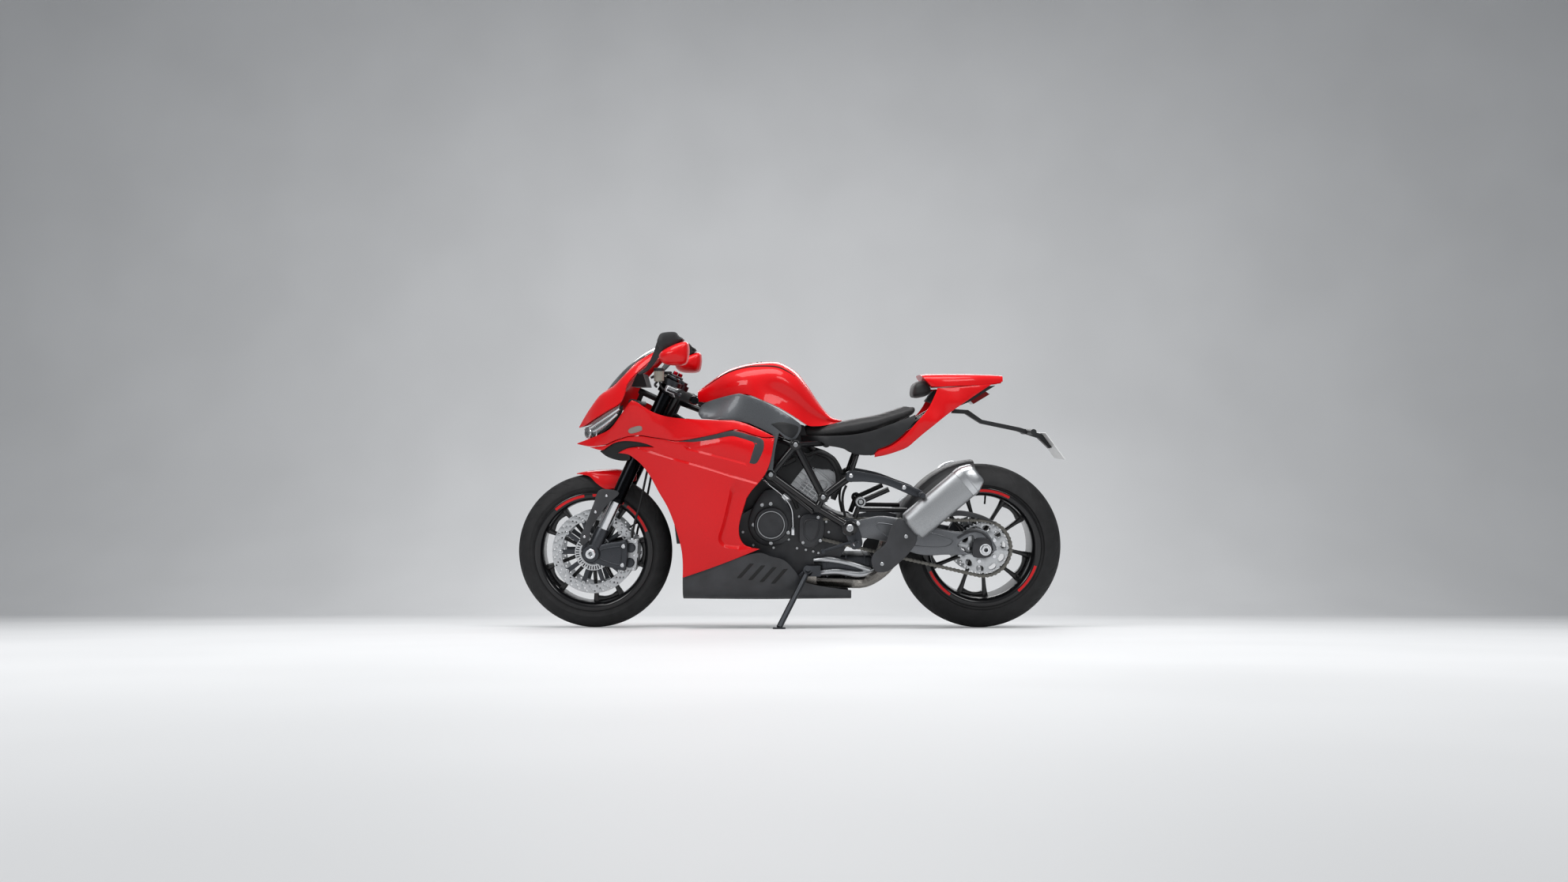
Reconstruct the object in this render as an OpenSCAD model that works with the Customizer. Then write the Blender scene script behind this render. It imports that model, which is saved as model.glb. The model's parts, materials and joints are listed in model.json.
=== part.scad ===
// Fully faired sport motorcycle, parked on its side stand.
// Drawn upright with the front wheel towards -X and the left side towards -Y, then leaned onto the stand.

/* [Stance] */
// Distance between the two axles
wheelbase = 1500; // [1460:5:1540]
// Lean to the left on the side stand, in degrees
lean = 8; // [7:0.25:9]
// Height that the bodywork is drawn to
body_h = 1000; // [970:5:1030]
// Width over the fairing
body_w = 500; // [480:2:520]

/* [Wheels] */
// Outer radius of the front tyre
front_tyre_r = 300; // [296:1:304]
// Width of the front tyre
front_tyre_w = 120; // [112:1:124]
// Outer radius of the rear tyre
rear_tyre_r = 320; // [316:1:324]
// Width of the rear tyre
rear_tyre_w = 190; // [182:1:194]
// Radius of the bead seat of both rims
bead_r = 216; // [212:1:220]
// Radius of both axles
axle_r = 12.5; // [11:0.25:14]
// Pairs of spokes in each wheel
spoke_pairs = 5; // [4:1:6]

/* [Brakes] */
// Outer radius of the front discs
front_disc_r = 160; // [154:1:164]
// Outer radius of the rear disc
rear_disc_r = 110; // [104:1:114]
// Thickness of every disc
disc_t = 5; // [4:0.5:6]

/* [Fork] */
// Rake of the steering head, in degrees
rake = 25; // [24:0.25:26]
// Distance of the fork tubes in front of the steering axis
fork_offset = 30; // [26:1:34]
// Distance between the two fork legs
fork_spread = 210; // [206:1:216]
// Radius of the upper fork tubes
fork_tube_r = 27; // [25:0.5:28]
// Radius of the lower fork sliders
fork_slider_r = 22; // [20:0.5:24]
// Length of the clip-on bars from the clamp to the bar end
bar_l = 245; // [235:1:255]
// Radius of the hand grips
grip_r = 17; // [15:0.5:18]

/* [Frame] */
// Radius of the trellis frame's main tubes
frame_tube_r = 14; // [12:0.5:16]
// Width over the swingarm
swingarm_w = 330; // [326:1:340]
// Thickness of each swingarm beam
swingarm_t = 35; // [32:1:38]

/* [Engine] */
// Width of the crankcase
crankcase_w = 190; // [184:2:194]
// Radius of the round engine cover
cover_r = 66; // [62:1:70]
// Bore-to-fin width of each cylinder
cylinder_w = 130; // [124:1:136]

/* [Exhaust] */
// Radius of each silencer
silencer_r = 58; // [54:1:60]
// Length of each silencer's can
silencer_l = 275; // [265:1:285]
// Radius of the exhaust pipes
pipe_r = 24; // [22:0.5:26]

/* [Drive] */
// Teeth on the rear sprocket
rear_teeth = 42; // [40:1:44]
// Teeth on the gearbox sprocket
front_teeth = 16; // [15:1:17]
// Pitch of the drive chain
chain_pitch = 15.875; // [15.5:0.125:16]

/* [Side stand] */
// Distance of the stand's foot from the middle of the motorcycle
stand_reach = 275; // [265:1:285]
// Radius of the stand's leg
stand_r = 11; // [10:0.5:12]

/* [Hidden] */
$fn = 48;
// Gap between pieces that are seated on each other
fit = 0.2;
// Gap between turning pieces and what holds them
running = 0.6;
// Overrun of every cut
over = 1;
// Thickness of the bodywork's shells
skin_t = 4;

// Values of the stance
front_x = -wheelbase / 2;
rear_x = wheelbase / 2;
lift = rear_tyre_w / 2 * (1 - cos(lean));
shift_x = -10.5;
shift_y = 146.5;

// Values of the wheels
rim_share = 0.4;
flange_h = 14;
flange_t = 8;
rim_t = 17;
spoke_w = 19;
spoke_t = 26;
spoke_near_share = 0.35;
spoke_far_share = 0.235;
front_turn_share = -0.028;
rear_turn_share = 0.646;
front_hub_r = 40;
front_hub_l = 110;
rear_hub_r = 52;
rear_hub_l = 172;
front_rim_half = front_tyre_w * rim_share;
rear_rim_half = rear_tyre_w * rim_share;

// Values of the discs and calipers
disc_band = 36;
disc_arms = 10;
arm_w = 14;
carrier_r = 54;
pad_gap = 3;
caliper_l = 118;
caliper_h = 50;
caliper_t = 52;
rear_caliper_l = 80;
rear_caliper_h = 44;
rear_caliper_t = 40;
bracket_r = 32;
bracket_w = 40;
bracket_t = 9;
front_caliper_angle = -4;
rear_caliper_angle = 152;

// Values of the fork, measured along its tubes from the front axle
foot_top = 105;
foot_r = 26;
tube_low = 226;
head_share = 0.94167;
head_l = 163;
yoke_low_t = 40;
bar_drop = 33;
clamp_h = 32;
yoke_top = (head_share * body_h - front_tyre_r) / cos(rake);
yoke_low = yoke_top - head_l;
bar_at = yoke_top - bar_drop;
yoke_top_t = 24;
tube_rise = 30;
tube_top = yoke_top + tube_rise;
stem_r = 15;
stem_bore_r = 9;
stem_bore_l = 45;
stem_nut_r = 22;
stem_nut_h = 12;
head_r = 32;
yoke_r = 40;
clamp_r = 36;
bar_r = 11;
bar_sweep = 26;
bar_droop = -2;
grip_l = 125;
bar_end_r = 16;
bar_end_l = 22;
perch_r = 19;
perch_l = 34;
lever_r = 6;
lever_reach = 58;
lever_l = 150;
foot_out = 121;
foot_clamp_r = 34;
foot_clamp_out = 132;
axle_out = 134;
axle_bore_r = 8;
collar_r = 19;
fender_half = 74;
fender_peg_r = 6;
fender_peg_share = 1.0;
fender_round_share = 0.62;
fender_crown_shares = [[-0.247, 1.006], [-0.167, 1.028], [-0.067, 1.042], [0.043, 1.052], [0.167, 1.06], [0.283, 1.06],
    [0.4, 1.036], [0.517, 1.0]];
fender_edge_shares = [[-0.247, 0.998], [-0.167, 0.994], [-0.053, 0.973], [0.047, 0.887], [0.16, 0.817], [0.287, 0.827],
    [0.4, 0.862], [0.5, 0.9]];
fender_half_shares = [0.04, 0.4, 0.74, 0.95, 1, 1, 0.98, 0.94];
guard_t = 5;

hose_r = 4.5;
hose_rise = 25;
hose_shares = [[0.56, -0.476, 0.433], [0.62, -0.505, 0.633], [0.67, -0.476, 0.867], [0.72, -0.424, 1.117],
    [0.775, -0.357, 1.35], [0.81, -0.3, 1.517]];
hose_end_share = 0.14;
hose_side_share = 0.285;
foot_shares = [[-0.1, -0.16], [0.72, -0.42], [0.9, -0.38], [0.94, 0.28], [0.76, 0.32], [0.1, 0.18]];
guard_shares = [[0.125, 0.817], [0.365, 0.777], [0.19, 0.6], [0.03, 0.357], [0, 0.28], [-0.025, 0.167], [-0.11, 0.107],
    [-0.13, 0.22], [-0.075, 0.34], [0.035, 0.623]];
clamp_in = 72;
foot_in = front_hub_l / 2 + disc_t / 2 + caliper_t / 2 + fit;

// Values of the drive, with the sprocket's place measured to the left of the middle
sprocket_y = 112;
sprocket_t = 8;
sprocket_r = chain_pitch / 2 / sin(180 / rear_teeth);
pinion_r = chain_pitch / 2 / sin(180 / front_teeth);
tooth_h = 4;
slots = 10;
slot_l = 26;
slot_w = 14;
chain_w = 19;
chain_h = 14;
waist_share = 0.62;
rear_axle_end = 20;
pinion_shares = [0.1, 0.392];
cover_plate_shares = [[0.04, 0.35], [0.04, 0.44], [0.07, 0.452], [0.125, 0.445], [0.14, 0.4], [0.125, 0.345],
    [0.08, 0.33]];
cover_post_shares = [[0.05, 0.36], [0.052, 0.435]];
cover_plate_t = 14;
cover_post_r = 8;

// Values of the frame, on the left side
boss_r = 21;
boss_l = 34;
upper_boss_shares = [0.021, -0.38, 0.717];
lower_boss_shares = [-0.041, -0.4, 0.606];
pivot_shares = [0.157, 0.405];
rear_boss_shares = [0.16, -0.33, 0.597];
upper_joint_shares = [0.09, -0.36, 0.52];
knee_shares = [0.075, -0.374, 0.478];
under_seat_shares = [0.1, -0.17, 0.722];
tail_joint_shares = [0.287, -0.18, 0.765];
tail_end_shares = [0.425, -0.12, 0.885];
head_upper_share = 0.94;
head_lower_share = 0.86;
pivot_r = 16;
pivot_boss_r = 30;
pivot_boss_l = 30;
subframe_r = 11;
rail_r = 12.5;
brace_r = 9;
brace_share = 0.5;
cross_r = 14;
lug_r = 17;
lug_l = 40;
eye_l = 20;

// Values of the engine
case_shares = [[-0.14, 0.34], [-0.15, 0.42], [-0.09, 0.47], [0.02, 0.5], [0.08, 0.485], [0.13, 0.45],
    [0.175, 0.43], [0.185, 0.405], [0.175, 0.38], [0.13, 0.27], [0.05, 0.215], [-0.11, 0.215]];
cover_shares = [-0.041, 0.412];
cover_h = 55;
cover_step = 6;
cover_ring_share = 0.78;
clutch_shares = [0.03, 0.36];
clutch_r = 74;
front_cylinder_shares = [-0.08, 0.4];
rear_cylinder_shares = [0.022, 0.44];
front_cylinder_tilt = -58;
rear_cylinder_tilt = 38;
cylinder_l_share = 0.15333;
cylinder_d_share = 0.07867;
cylinder_l = cylinder_l_share * wheelbase;
cylinder_d = cylinder_d_share * wheelbase;
fin_t = 5;
fin_gap = 15;
fin_out = 8;
fins = 7;
airbox_shares = [[-0.1, 0.83], [0, 0.8], [0.028, 0.728], [0.1, 0.69], [0.14, 0.62], [0.09, 0.62], [0.03, 0.64],
    [-0.03, 0.68], [-0.09, 0.76]];
airbox_w = 140;
radiator_gap_share = 0.02;
radiator_t_share = 0.018;
radiator_gap = radiator_gap_share * wheelbase;
radiator_t = radiator_t_share * wheelbase;
radiator_lean = 30;
radiator_low_share = 0.34;
radiator_high_share = 0.582;
radiator_w = 290;

// Values of the exhaust
silencer_shares = [0.313, 0.414];
silencer_gap = 5;
silencer_y = swingarm_w / 2 + silencer_gap + silencer_r;
silencer_rise = 40;
silencer_neck = 14;
silencer_neck_r = 40;
silencer_cap = 36;
silencer_end_r = 42;
outlet_r = 30;
outlet_l = 60;
shield_t = 6;
pipe_shares = [[0.0757, -0.241, 0.19], [0.14, -0.285, 0.187], [0.2, -0.373, 0.19], [0.248, -0.724, 0.25],
    [0.27, -0.921, 0.322], [0.288, -0.991, 0.383], [0.3045, -1, 0.4037]];
collector_shares = [[-0.1, 0.165], [-0.1, 0.2145], [0.05, 0.2145], [0.0755, 0.2145], [0.0755, 0.165]];
collector_w = 160;
shield_shares = [[0.281, 0.445], [0.322, 0.366], [0.265, 0.263], [0.227, 0.244], [0.211, 0.268], [0.212, 0.309],
    [0.243, 0.352], [0.256, 0.408]];

// Values of the swingarm
arm_shares = [[-0.05, 0], [-0.02, 0.055], [0.06, 0.06], [0.19, 0.107], [0.3, 0.119], [0.46, 0.109], [0.59, 0.095],
    [0.71, 0.093], [0.81, 0.094], [0.865, 0.122], [0.915, 0.142], [0.975, 0.138], [1.025, 0.094], [1.055, 0.06],
    [1.083, 0.009], [1.0, -0.035], [0.88, -0.06], [0.73, -0.084], [0.53, -0.115], [0.25, -0.06], [-0.01, -0.066]];
eye_shares = [
    [[0.8, 0], [0.825, 0.036], [0.855, 0.06], [0.898, 0.082], [0.93, -0.028], [0.885, -0.045], [0.835, -0.028]],
    [[1.01, 0.075], [1.03, 0.058], [1.055, -0.003], [1.025, -0.012]]];
brace_from_share = 0.13;
brace_low_share = -0.03;
brace_high_share = 0.055;
hugger_gap = 14;
arm_gap = hugger_gap + skin_t + fit;
hugger_from = 95;
hugger_to = 168;
hugger_half = 96;
hugger_drop = 40;

// Values of the side stand
stand_shares = [0.052, -0.3, 0.232];
stand_foot_share = -0.02;
stand_tilt = 28.5;
stand_boss_r = 17;
stand_boss_h = 26;
stand_pin_r = 7;
stand_lug_h = 16;
stand_lug_shares = [[0.025, 0.216], [0.052, 0.255], [0.085, 0.255], [0.085, 0.216]];
stand_foot_r = 24;
stand_foot_t = 6;

// Values of the footrests
footrest_shares = [0.175, 0.345];
footrest_r = 11;
footrest_l = 95;
hanger_t = 10;
pedal_shares = [[0.161, 0.35], [0.09, 0.316]];
pedal_r = 6;
pedal_peg_r = 8;
pedal_peg_l = 40;
hanger_shares = [[0.14, 0.42], [0.15, 0.44], [0.172, 0.43], [0.19, 0.35], [0.18, 0.325], [0.16, 0.33]];
pillion_shares = [[0.15, 0.61], [0.17, 0.62], [0.24, 0.6], [0.338, 0.545], [0.34, 0.525], [0.32, 0.522],
    [0.25, 0.565], [0.15, 0.58]];
pillion_rest_shares = [0.3345, 0.5306];
pillion_rest_r = 10;
pillion_rest_l = 100;
pivot_out = swingarm_w / 2 + 2 * fit + hanger_t + pivot_boss_l;

// Values of the bodywork, as shares of wheelbase, body width and body height
// Sections of the tank, seat and tail: place, top, bottom, half width and forward lean of each
tank_shares = [[-0.23, 0.925, 0.882, 0.17, 0], [-0.2, 0.958, 0.88, 0.25, 0], [-0.157, 1.003, 0.89, 0.32, 0],
    [-0.107, 1.027, 0.908, 0.37, 0], [-0.063, 1.036, 0.886, 0.392, 0], [-0.026, 1.036, 0.862, 0.392, 0],
    [0, 1.02, 0.84, 0.37, 0], [0.027, 0.994, 0.815, 0.33, 0], [0.053, 0.946, 0.79, 0.27, 0],
    [0.075, 0.894, 0.787, 0.22, 0], [0.096, 0.851, 0.79, 0.18, 0], [0.116, 0.822, 0.796, 0.14, 0],
    [0.14, 0.81, 0.803, 0.1, 0]];
seat_shares = [[0.033, 0.788, 0.734, 0.124, 0], [0.061, 0.7855, 0.738, 0.176, 0], [0.077, 0.783, 0.741, 0.2, 0],
    [0.097, 0.7855, 0.744, 0.224, 0], [0.116, 0.791, 0.747, 0.24, 0], [0.137, 0.799, 0.75, 0.252, 0],
    [0.181, 0.812, 0.757, 0.266, 0], [0.234, 0.826, 0.778, 0.258, 0], [0.283, 0.848, 0.806, 0.236, 0],
    [0.319, 0.866, 0.832, 0.208, 0], [0.331, 0.868, 0.846, 0.184, 0]];
hump_shares = [[0.378, 0.982, 0.938, 0.235, 0.028], [0.4, 0.988, 0.9355, 0.24, 0.02],
    [0.44, 0.989, 0.9414, 0.22, 0.01], [0.5, 0.987, 0.9464, 0.165, 0], [0.558, 0.984, 0.9536, 0.09, 0]];
pad_shares = [[0.335, 0.94, 0.897, 0.15, 0.012], [0.345, 0.958, 0.897, 0.18, 0.012],
    [0.36, 0.966, 0.905, 0.18, 0.014], [0.374, 0.968, 0.915, 0.16, 0.02]];
tank_round_share = 0.62;
pad_round_share = 0.5;
hump_round_share = 0.55;
tank_panel_low_shares = [[-0.216, -0.36, 0.82], [-0.189, -0.4, 0.815], [-0.113, -0.42, 0.806], [-0.075, -0.42, 0.788],
    [-0.036, -0.42, 0.76]];
tank_panel_high_shares = [[-0.212, -0.28, 0.866], [-0.173, -0.34, 0.88], [-0.12, -0.39, 0.903],
    [-0.069, -0.405, 0.88], [-0.033, -0.405, 0.856], [0.008, -0.385, 0.822], [0.036, -0.34, 0.785]];
leg_low_shares = [[-0.046, -0.462, 0.632], [-0.026, -0.45, 0.632]];
leg_high_shares = [[-0.026, -0.462, 0.75], [0.004, -0.43, 0.755]];
side_low_shares = [[-0.264, -0.33, 0.214], [-0.167, -0.39, 0.27], [-0.069, -0.43, 0.326]];
side_high_shares = [[-0.423, -0.27, 0.686], [-0.367, -0.38, 0.745], [-0.267, -0.47, 0.73], [-0.189, -0.5, 0.751],
    [-0.135, -0.5, 0.77], [-0.063, -0.49, 0.744], [-0.033, -0.48, 0.738]];
side_fore_shares = [[-0.264, -0.33, 0.214], [-0.263, -0.36, 0.311], [-0.282, -0.38, 0.4], [-0.303, -0.38, 0.477],
    [-0.328, -0.37, 0.536], [-0.353, -0.35, 0.6], [-0.398, -0.3, 0.667], [-0.423, -0.27, 0.686]];
side_aft_shares = [[-0.069, -0.43, 0.326], [-0.108, -0.45, 0.342], [-0.121, -0.47, 0.404], [-0.111, -0.48, 0.474],
    [-0.101, -0.49, 0.526], [-0.065, -0.5, 0.587], [-0.051, -0.5, 0.621], [-0.04, -0.5, 0.666],
    [-0.033, -0.48, 0.738]];
shoulder_low_shares = [[-0.549, -0.004, 0.716], [-0.515, -0.12, 0.703], [-0.466, -0.21, 0.696], [-0.43, -0.28, 0.724],
    [-0.38, -0.36, 0.746], [-0.367, -0.38, 0.752], [-0.267, -0.47, 0.736], [-0.189, -0.5, 0.755],
    [-0.135, -0.5, 0.774], [-0.063, -0.49, 0.748], [-0.033, -0.48, 0.742]];
shoulder_high_shares = [[-0.549, -0.004, 0.726], [-0.484, -0.19, 0.754], [-0.452, -0.26, 0.776],
    [-0.423, -0.34, 0.827], [-0.4, -0.4, 0.869], [-0.388, -0.42, 0.887], [-0.365, -0.43, 0.868],
    [-0.337, -0.44, 0.84], [-0.278, -0.45, 0.814], [-0.185, -0.45, 0.808], [-0.113, -0.45, 0.801],
    [-0.075, -0.46, 0.782], [-0.033, -0.48, 0.752]];
belly_edge_shares = [[-0.264, -0.3, 0.198], [-0.22, -0.344, 0.226], [-0.167, -0.384, 0.258], [-0.12, -0.412, 0.286],
    [-0.071, -0.424, 0.31], [-0.04, -0.412, 0.298], [-0.007, -0.396, 0.282], [0.02, -0.36, 0.24], [0.04, -0.32, 0.2],
    [0.087, -0.284, 0.178], [0.163, -0.25, 0.16]];
belly_low_share = 0.122;
belly_round_share = 0.5;
vents = 4;
vent_shares = [[-0.094, 0.27], [-0.084, 0.27], [-0.115, 0.22], [-0.125, 0.22]];
vent_step_shares = [0.0285, -0.007];
vent_in_share = 0.3;
nose_low_shares = [[-0.541, -0.024, 0.78], [-0.499, -0.22, 0.81], [-0.455, -0.36, 0.845], [-0.415, -0.45, 0.88]];
nose_fore_shares = [[-0.541, -0.024, 0.78], [-0.543, 0, 0.782], [-0.541, 0.024, 0.78]];
nose_aft_shares = [[-0.415, -0.45, 0.88], [-0.432, -0.26, 0.945], [-0.462, -0.09, 0.938], [-0.47, 0, 0.929],
    [-0.462, 0.09, 0.938], [-0.432, 0.26, 0.945], [-0.415, 0.45, 0.88]];
cowl_arm_low_shares = [[-0.413, -0.451, 0.884], [-0.407, -0.445, 0.94], [-0.38, -0.41, 0.985],
    [-0.337, -0.34, 1.048]];
cowl_arm_high_shares = [[-0.43, -0.258, 0.949], [-0.4, -0.256, 1.008], [-0.367, -0.28, 1.045], [-0.338, -0.3, 1.066]];
screen_edge_shares = [[-0.46, -0.08, 0.942], [-0.426, -0.23, 0.955], [-0.395, -0.235, 1.016], [-0.363, -0.255, 1.052],
    [-0.333, -0.275, 1.07]];
screen_fore_shares = [[-0.46, -0.08, 0.942], [-0.466, 0, 0.934], [-0.46, 0.08, 0.942]];
screen_aft_shares = [[-0.333, -0.275, 1.07], [-0.329, -0.15, 1.102], [-0.328, 0, 1.11], [-0.329, 0.15, 1.102],
    [-0.333, 0.275, 1.07]];
lamp_low_shares = [[-0.515, -0.1, 0.748], [-0.483, -0.2, 0.766], [-0.45, -0.29, 0.8], [-0.425, -0.355, 0.842]];
lamp_high_shares = [[-0.521, -0.096, 0.7868], [-0.4955, -0.216, 0.8052], [-0.4515, -0.356, 0.8402],
    [-0.415, -0.43, 0.872]];
grille_low_shares = [[-0.515, 0.08, 0.747], [-0.525, 0, 0.74], [-0.515, -0.08, 0.747]];
grille_high_shares = [[-0.52, 0.08, 0.781], [-0.53, 0, 0.774], [-0.52, -0.08, 0.781]];
tail_low_shares = [[0.223, -0.235, 0.67], [0.25, -0.245, 0.677], [0.305, -0.26, 0.707], [0.355, -0.255, 0.768],
    [0.41, -0.235, 0.834], [0.472, -0.19, 0.89], [0.525, -0.13, 0.935], [0.558, -0.07, 0.95]];
tail_high_shares = [[0.228, -0.245, 0.69], [0.265, -0.26, 0.713], [0.298, -0.27, 0.75], [0.33, -0.265, 0.804],
    [0.359, -0.255, 0.858], [0.378, -0.245, 0.905], [0.42, -0.225, 0.937], [0.5, -0.16, 0.945], [0.558, -0.085, 0.953]];
cover_low_shares = [[0.035, -0.146, 0.742], [0.067, -0.206, 0.741], [0.09, -0.24, 0.741], [0.101, -0.248, 0.712],
    [0.129, -0.252, 0.706], [0.169, -0.256, 0.681], [0.219, -0.244, 0.676]];
cover_high_shares = [[0.035, -0.15, 0.752], [0.097, -0.244, 0.75], [0.145, -0.258, 0.752], [0.181, -0.264, 0.758],
    [0.25, -0.252, 0.787], [0.328, -0.224, 0.832]];
cover_fore_shares = [[0.035, -0.146, 0.742], [0.035, -0.15, 0.752]];
cover_aft_shares = [[0.219, -0.244, 0.676], [0.231, -0.248, 0.699], [0.263, -0.252, 0.718], [0.295, -0.254, 0.755],
    [0.327, -0.24, 0.808], [0.328, -0.224, 0.832]];
stay_at_share = 0.867;
stay_r = 12;
stay_end_shares = [-0.3862, 0, 0.9263];
stay_tube_shares = [-0.39, 0.878];
stay_tube_half = 195;
post_r = 9;
post_share = 0.9;
dash_shares = [[-0.4, 0.94], [-0.385, 0.99], [-0.37, 0.99], [-0.36, 0.94]];
dash_w = 180;
undertail_shares = [[0.36, 0.885], [0.38, 0.925], [0.5, 0.94], [0.54, 0.945], [0.47, 0.88], [0.43, 0.856]];
undertail_w = 90;
tail_light_shares = [[0.475, 0.884], [0.515, 0.9212], [0.525, 0.911], [0.483, 0.873]];
holder_shares = [[0.435, 0.854], [0.472, 0.85], [0.508, 0.812], [0.605, 0.782], [0.665, 0.755], [0.69, 0.704],
    [0.683, 0.7], [0.655, 0.74], [0.6, 0.767], [0.505, 0.797], [0.465, 0.835], [0.43, 0.838]];
holder_w = 36;
plate_shares = [[0.6627, 0.7603], [0.664, 0.7618], [0.714, 0.6598], [0.7127, 0.6583]];
plate_w = 180;
indicator_shares = [0.63, 0.765];
indicator_r = 11;
indicator_l = 110;
stalk_shares = [[-0.37, -0.413, 0.99], [-0.357, -0.47, 1.035], [-0.337, -0.545, 1.092], [-0.319, -0.59, 1.122],
    [-0.295, -0.645, 1.112], [-0.276, -0.68, 1.066]];
mirror_shares = [-0.275, -0.68, 1.052];
mirror_l = 110;
mirror_w = 136;
mirror_h = 89;
mirror_section_shares = [[0.47, 0.45], [0.49, 0.11], [0.44, -0.31], [0.31, -0.47], [0, -0.49], [-0.31, -0.43],
    [-0.49, -0.25], [-0.51, -0.04], [-0.36, 0.13], [-0.05, 0.34], [0.24, 0.47], [0.4, 0.51]];
mirror_end_shares = [0.3, 0.72, 0.9, 0.97, 1, 0.97, 0.9, 0.72, 0.3];
stalk_r = 9;

// A point of the upright motorcycle from its shares of wheelbase, body width and body height
function place(s) = [s[0] * wheelbase, s[1] * body_w, s[2] * body_h];
function places(list) = [for (s = list) place(s)];
function flat_places(list) = [for (s = list) [s[0] * wheelbase, s[1] * body_h]];

// Height of the leaned ground under the upright motorcycle at a distance from its middle
function ground(y) = -(lift + y * sin(lean)) / cos(lean);

// A point part of the way between two others
function mixed(a, b, t) = a + (b - a) * t;

// A smooth curve through all points of a list, with t from 0 to 1
function curve(p, t) =
    let (n = len(p) - 1, i = min(floor(t * n), n - 1), f = t * n - i)
    let (a = p[max(i - 1, 0)], b = p[i], c = p[i + 1], d = p[min(i + 2, n)])
    (2 * b + (c - a) * f + (2 * a - 5 * b + 4 * c - d) * f * f + (3 * (b - c) + d - a) * f * f * f) / 2;

// A surface between four edge curves
function patch(low, high, fore, aft, u, v) =
    mixed(curve(low, u), curve(high, u), v) + mixed(curve(fore, v), curve(aft, v), u)
    - mixed(mixed(low[0], low[len(low) - 1], u), mixed(high[0], high[len(high) - 1], u), v);

// A power that keeps its sign, for rounded sections
function soft(x, e) = sign(x) * pow(abs(x), e);

// A closed skin over rings of points
module skin(rings) {
    m = len(rings[0]);
    n = len(rings);
    points = [for (ring = rings) each ring];
    sides = [for (i = [0 : n - 2], j = [0 : m - 1])
        let (k = (j + 1) % m)
        each [[i * m + j, (i + 1) * m + j, (i + 1) * m + k], [i * m + j, (i + 1) * m + k, i * m + k]]];
    start = [for (j = [0 : m - 1]) j];
    end = [for (j = [m - 1 : -1 : 0]) (n - 1) * m + j];
    polyhedron(points, concat(sides, [start, end]));
}

// A closed shell between an outer and an inner grid of points
module shell(outer, inner, nu, nv) {
    n = len(outer);
    w = nv + 1;
    faces = concat(
        [for (i = [0 : nu - 1], j = [0 : nv - 1])
            let (a = i * w + j, b = a + 1, c = a + w, d = c + 1)
            each [[a, b, d], [a, d, c], [n + a, n + d, n + b], [n + a, n + c, n + d]]],
        [for (i = [0 : nu - 1])
            let (a = i * w, c = a + w, b = a + nv, d = c + nv)
            each [[a, c, n + c], [a, n + c, n + a], [b, n + b, n + d], [b, n + d, d]]],
        [for (j = [0 : nv - 1])
            let (a = j, b = j + 1, c = nu * w + j, d = c + 1)
            each [[a, n + a, n + b], [a, n + b, b], [c, d, n + d], [c, n + d, n + c]]]);
    polyhedron(concat(outer, inner), faces);
}

// A shell between four edge curves, thickened inwards
module panel(low, high, fore, aft, inward, nu, nv) {
    outer = [for (i = [0 : nu], j = [0 : nv]) patch(low, high, fore, aft, i / nu, j / nv)];
    shell(outer, [for (p = outer) p + inward], nu, nv);
}

// A round bar between two points
module bar(a, b, r) {
    d = b - a;
    translate(a) rotate([0, acos(d[2] / norm(d)), atan2(d[1], d[0])]) cylinder(r = r, h = norm(d));
}

// A round pipe along a smooth curve, swept with its section kept square to the path
module pipe(points, r, steps, sides = 12) {
    step = 1 / steps;
    rings = [for (i = [0 : steps])
        let (t = i * step)
        let (way = curve(points, min(t + step / 2, 1)) - curve(points, max(t - step / 2, 0)))
        let (ahead = way / norm(way), across = cross(ahead, [0, 1, 0]), n = across / norm(across))
        let (b = cross(ahead, n))
        [for (j = [0 : sides - 1])
            curve(points, t) + r * (n * cos(j * 360 / sides) + b * sin(j * 360 / sides))]];
    skin(rings);
}

// The same on both sides
module both() {
    children();
    mirror([0, 1, 0]) children();
}

// The whole motorcycle leaned onto its stand
module parked() {
    translate([shift_x, shift_y, lift]) rotate([lean, 0, 0]) children();
}

// Frames of the two wheels, with their axle along Z, and of the fork, with its tubes along Z
module at_front() {
    parked() translate([front_x, 0, front_tyre_r]) rotate([90, 0, 0]) children();
}
module at_rear() {
    parked() translate([rear_x, 0, rear_tyre_r]) rotate([90, 0, 0]) children();
}
module on_fork() {
    translate([front_x, 0, front_tyre_r]) rotate([0, rake, 0]) children();
}

// Section of a tyre, from bead to bead over a round crown
module tyre_section(r, w, rim_half) {
    crown = w / 2;
    bead_top = bead_r + flange_h + over;
    polygon(concat(
        [[bead_r, -rim_half], [bead_top, -rim_half]],
        [for (a = [-80 : 10 : 80]) [r - crown + crown * cos(a), crown * sin(a)]],
        [[bead_top, rim_half], [bead_r, rim_half]]));
}

// Section of a rim with its two flanges
module rim_section(rim_half) {
    seat = bead_r - fit;
    edge = rim_half + fit;
    polygon([[seat, -edge], [seat + flange_h, -edge], [seat + flange_h, -edge - flange_t],
        [seat - rim_t, -edge - flange_t], [seat - rim_t, edge + flange_t], [seat + flange_h, edge + flange_t],
        [seat + flange_h, edge], [seat, edge]]);
}

// Pairs of spokes that open towards the rim
module spokes(hub_r, turn_share) {
    near = hub_r * spoke_near_share;
    far = bead_r * spoke_far_share;
    start = hub_r * cos(asin(spoke_near_share)) - spoke_w / 2;
    end = bead_r - rim_t + flange_t / 2;
    linear_extrude(spoke_t, center = true)
        for (k = [1 : spoke_pairs], side = [-1, 1])
            rotate((k + turn_share) * 360 / spoke_pairs)
                polygon([[start, side * near - spoke_w / 2], [end, side * far - spoke_w / 2],
                    [end, side * far + spoke_w / 2], [start, side * near + spoke_w / 2]]);
}

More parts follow.
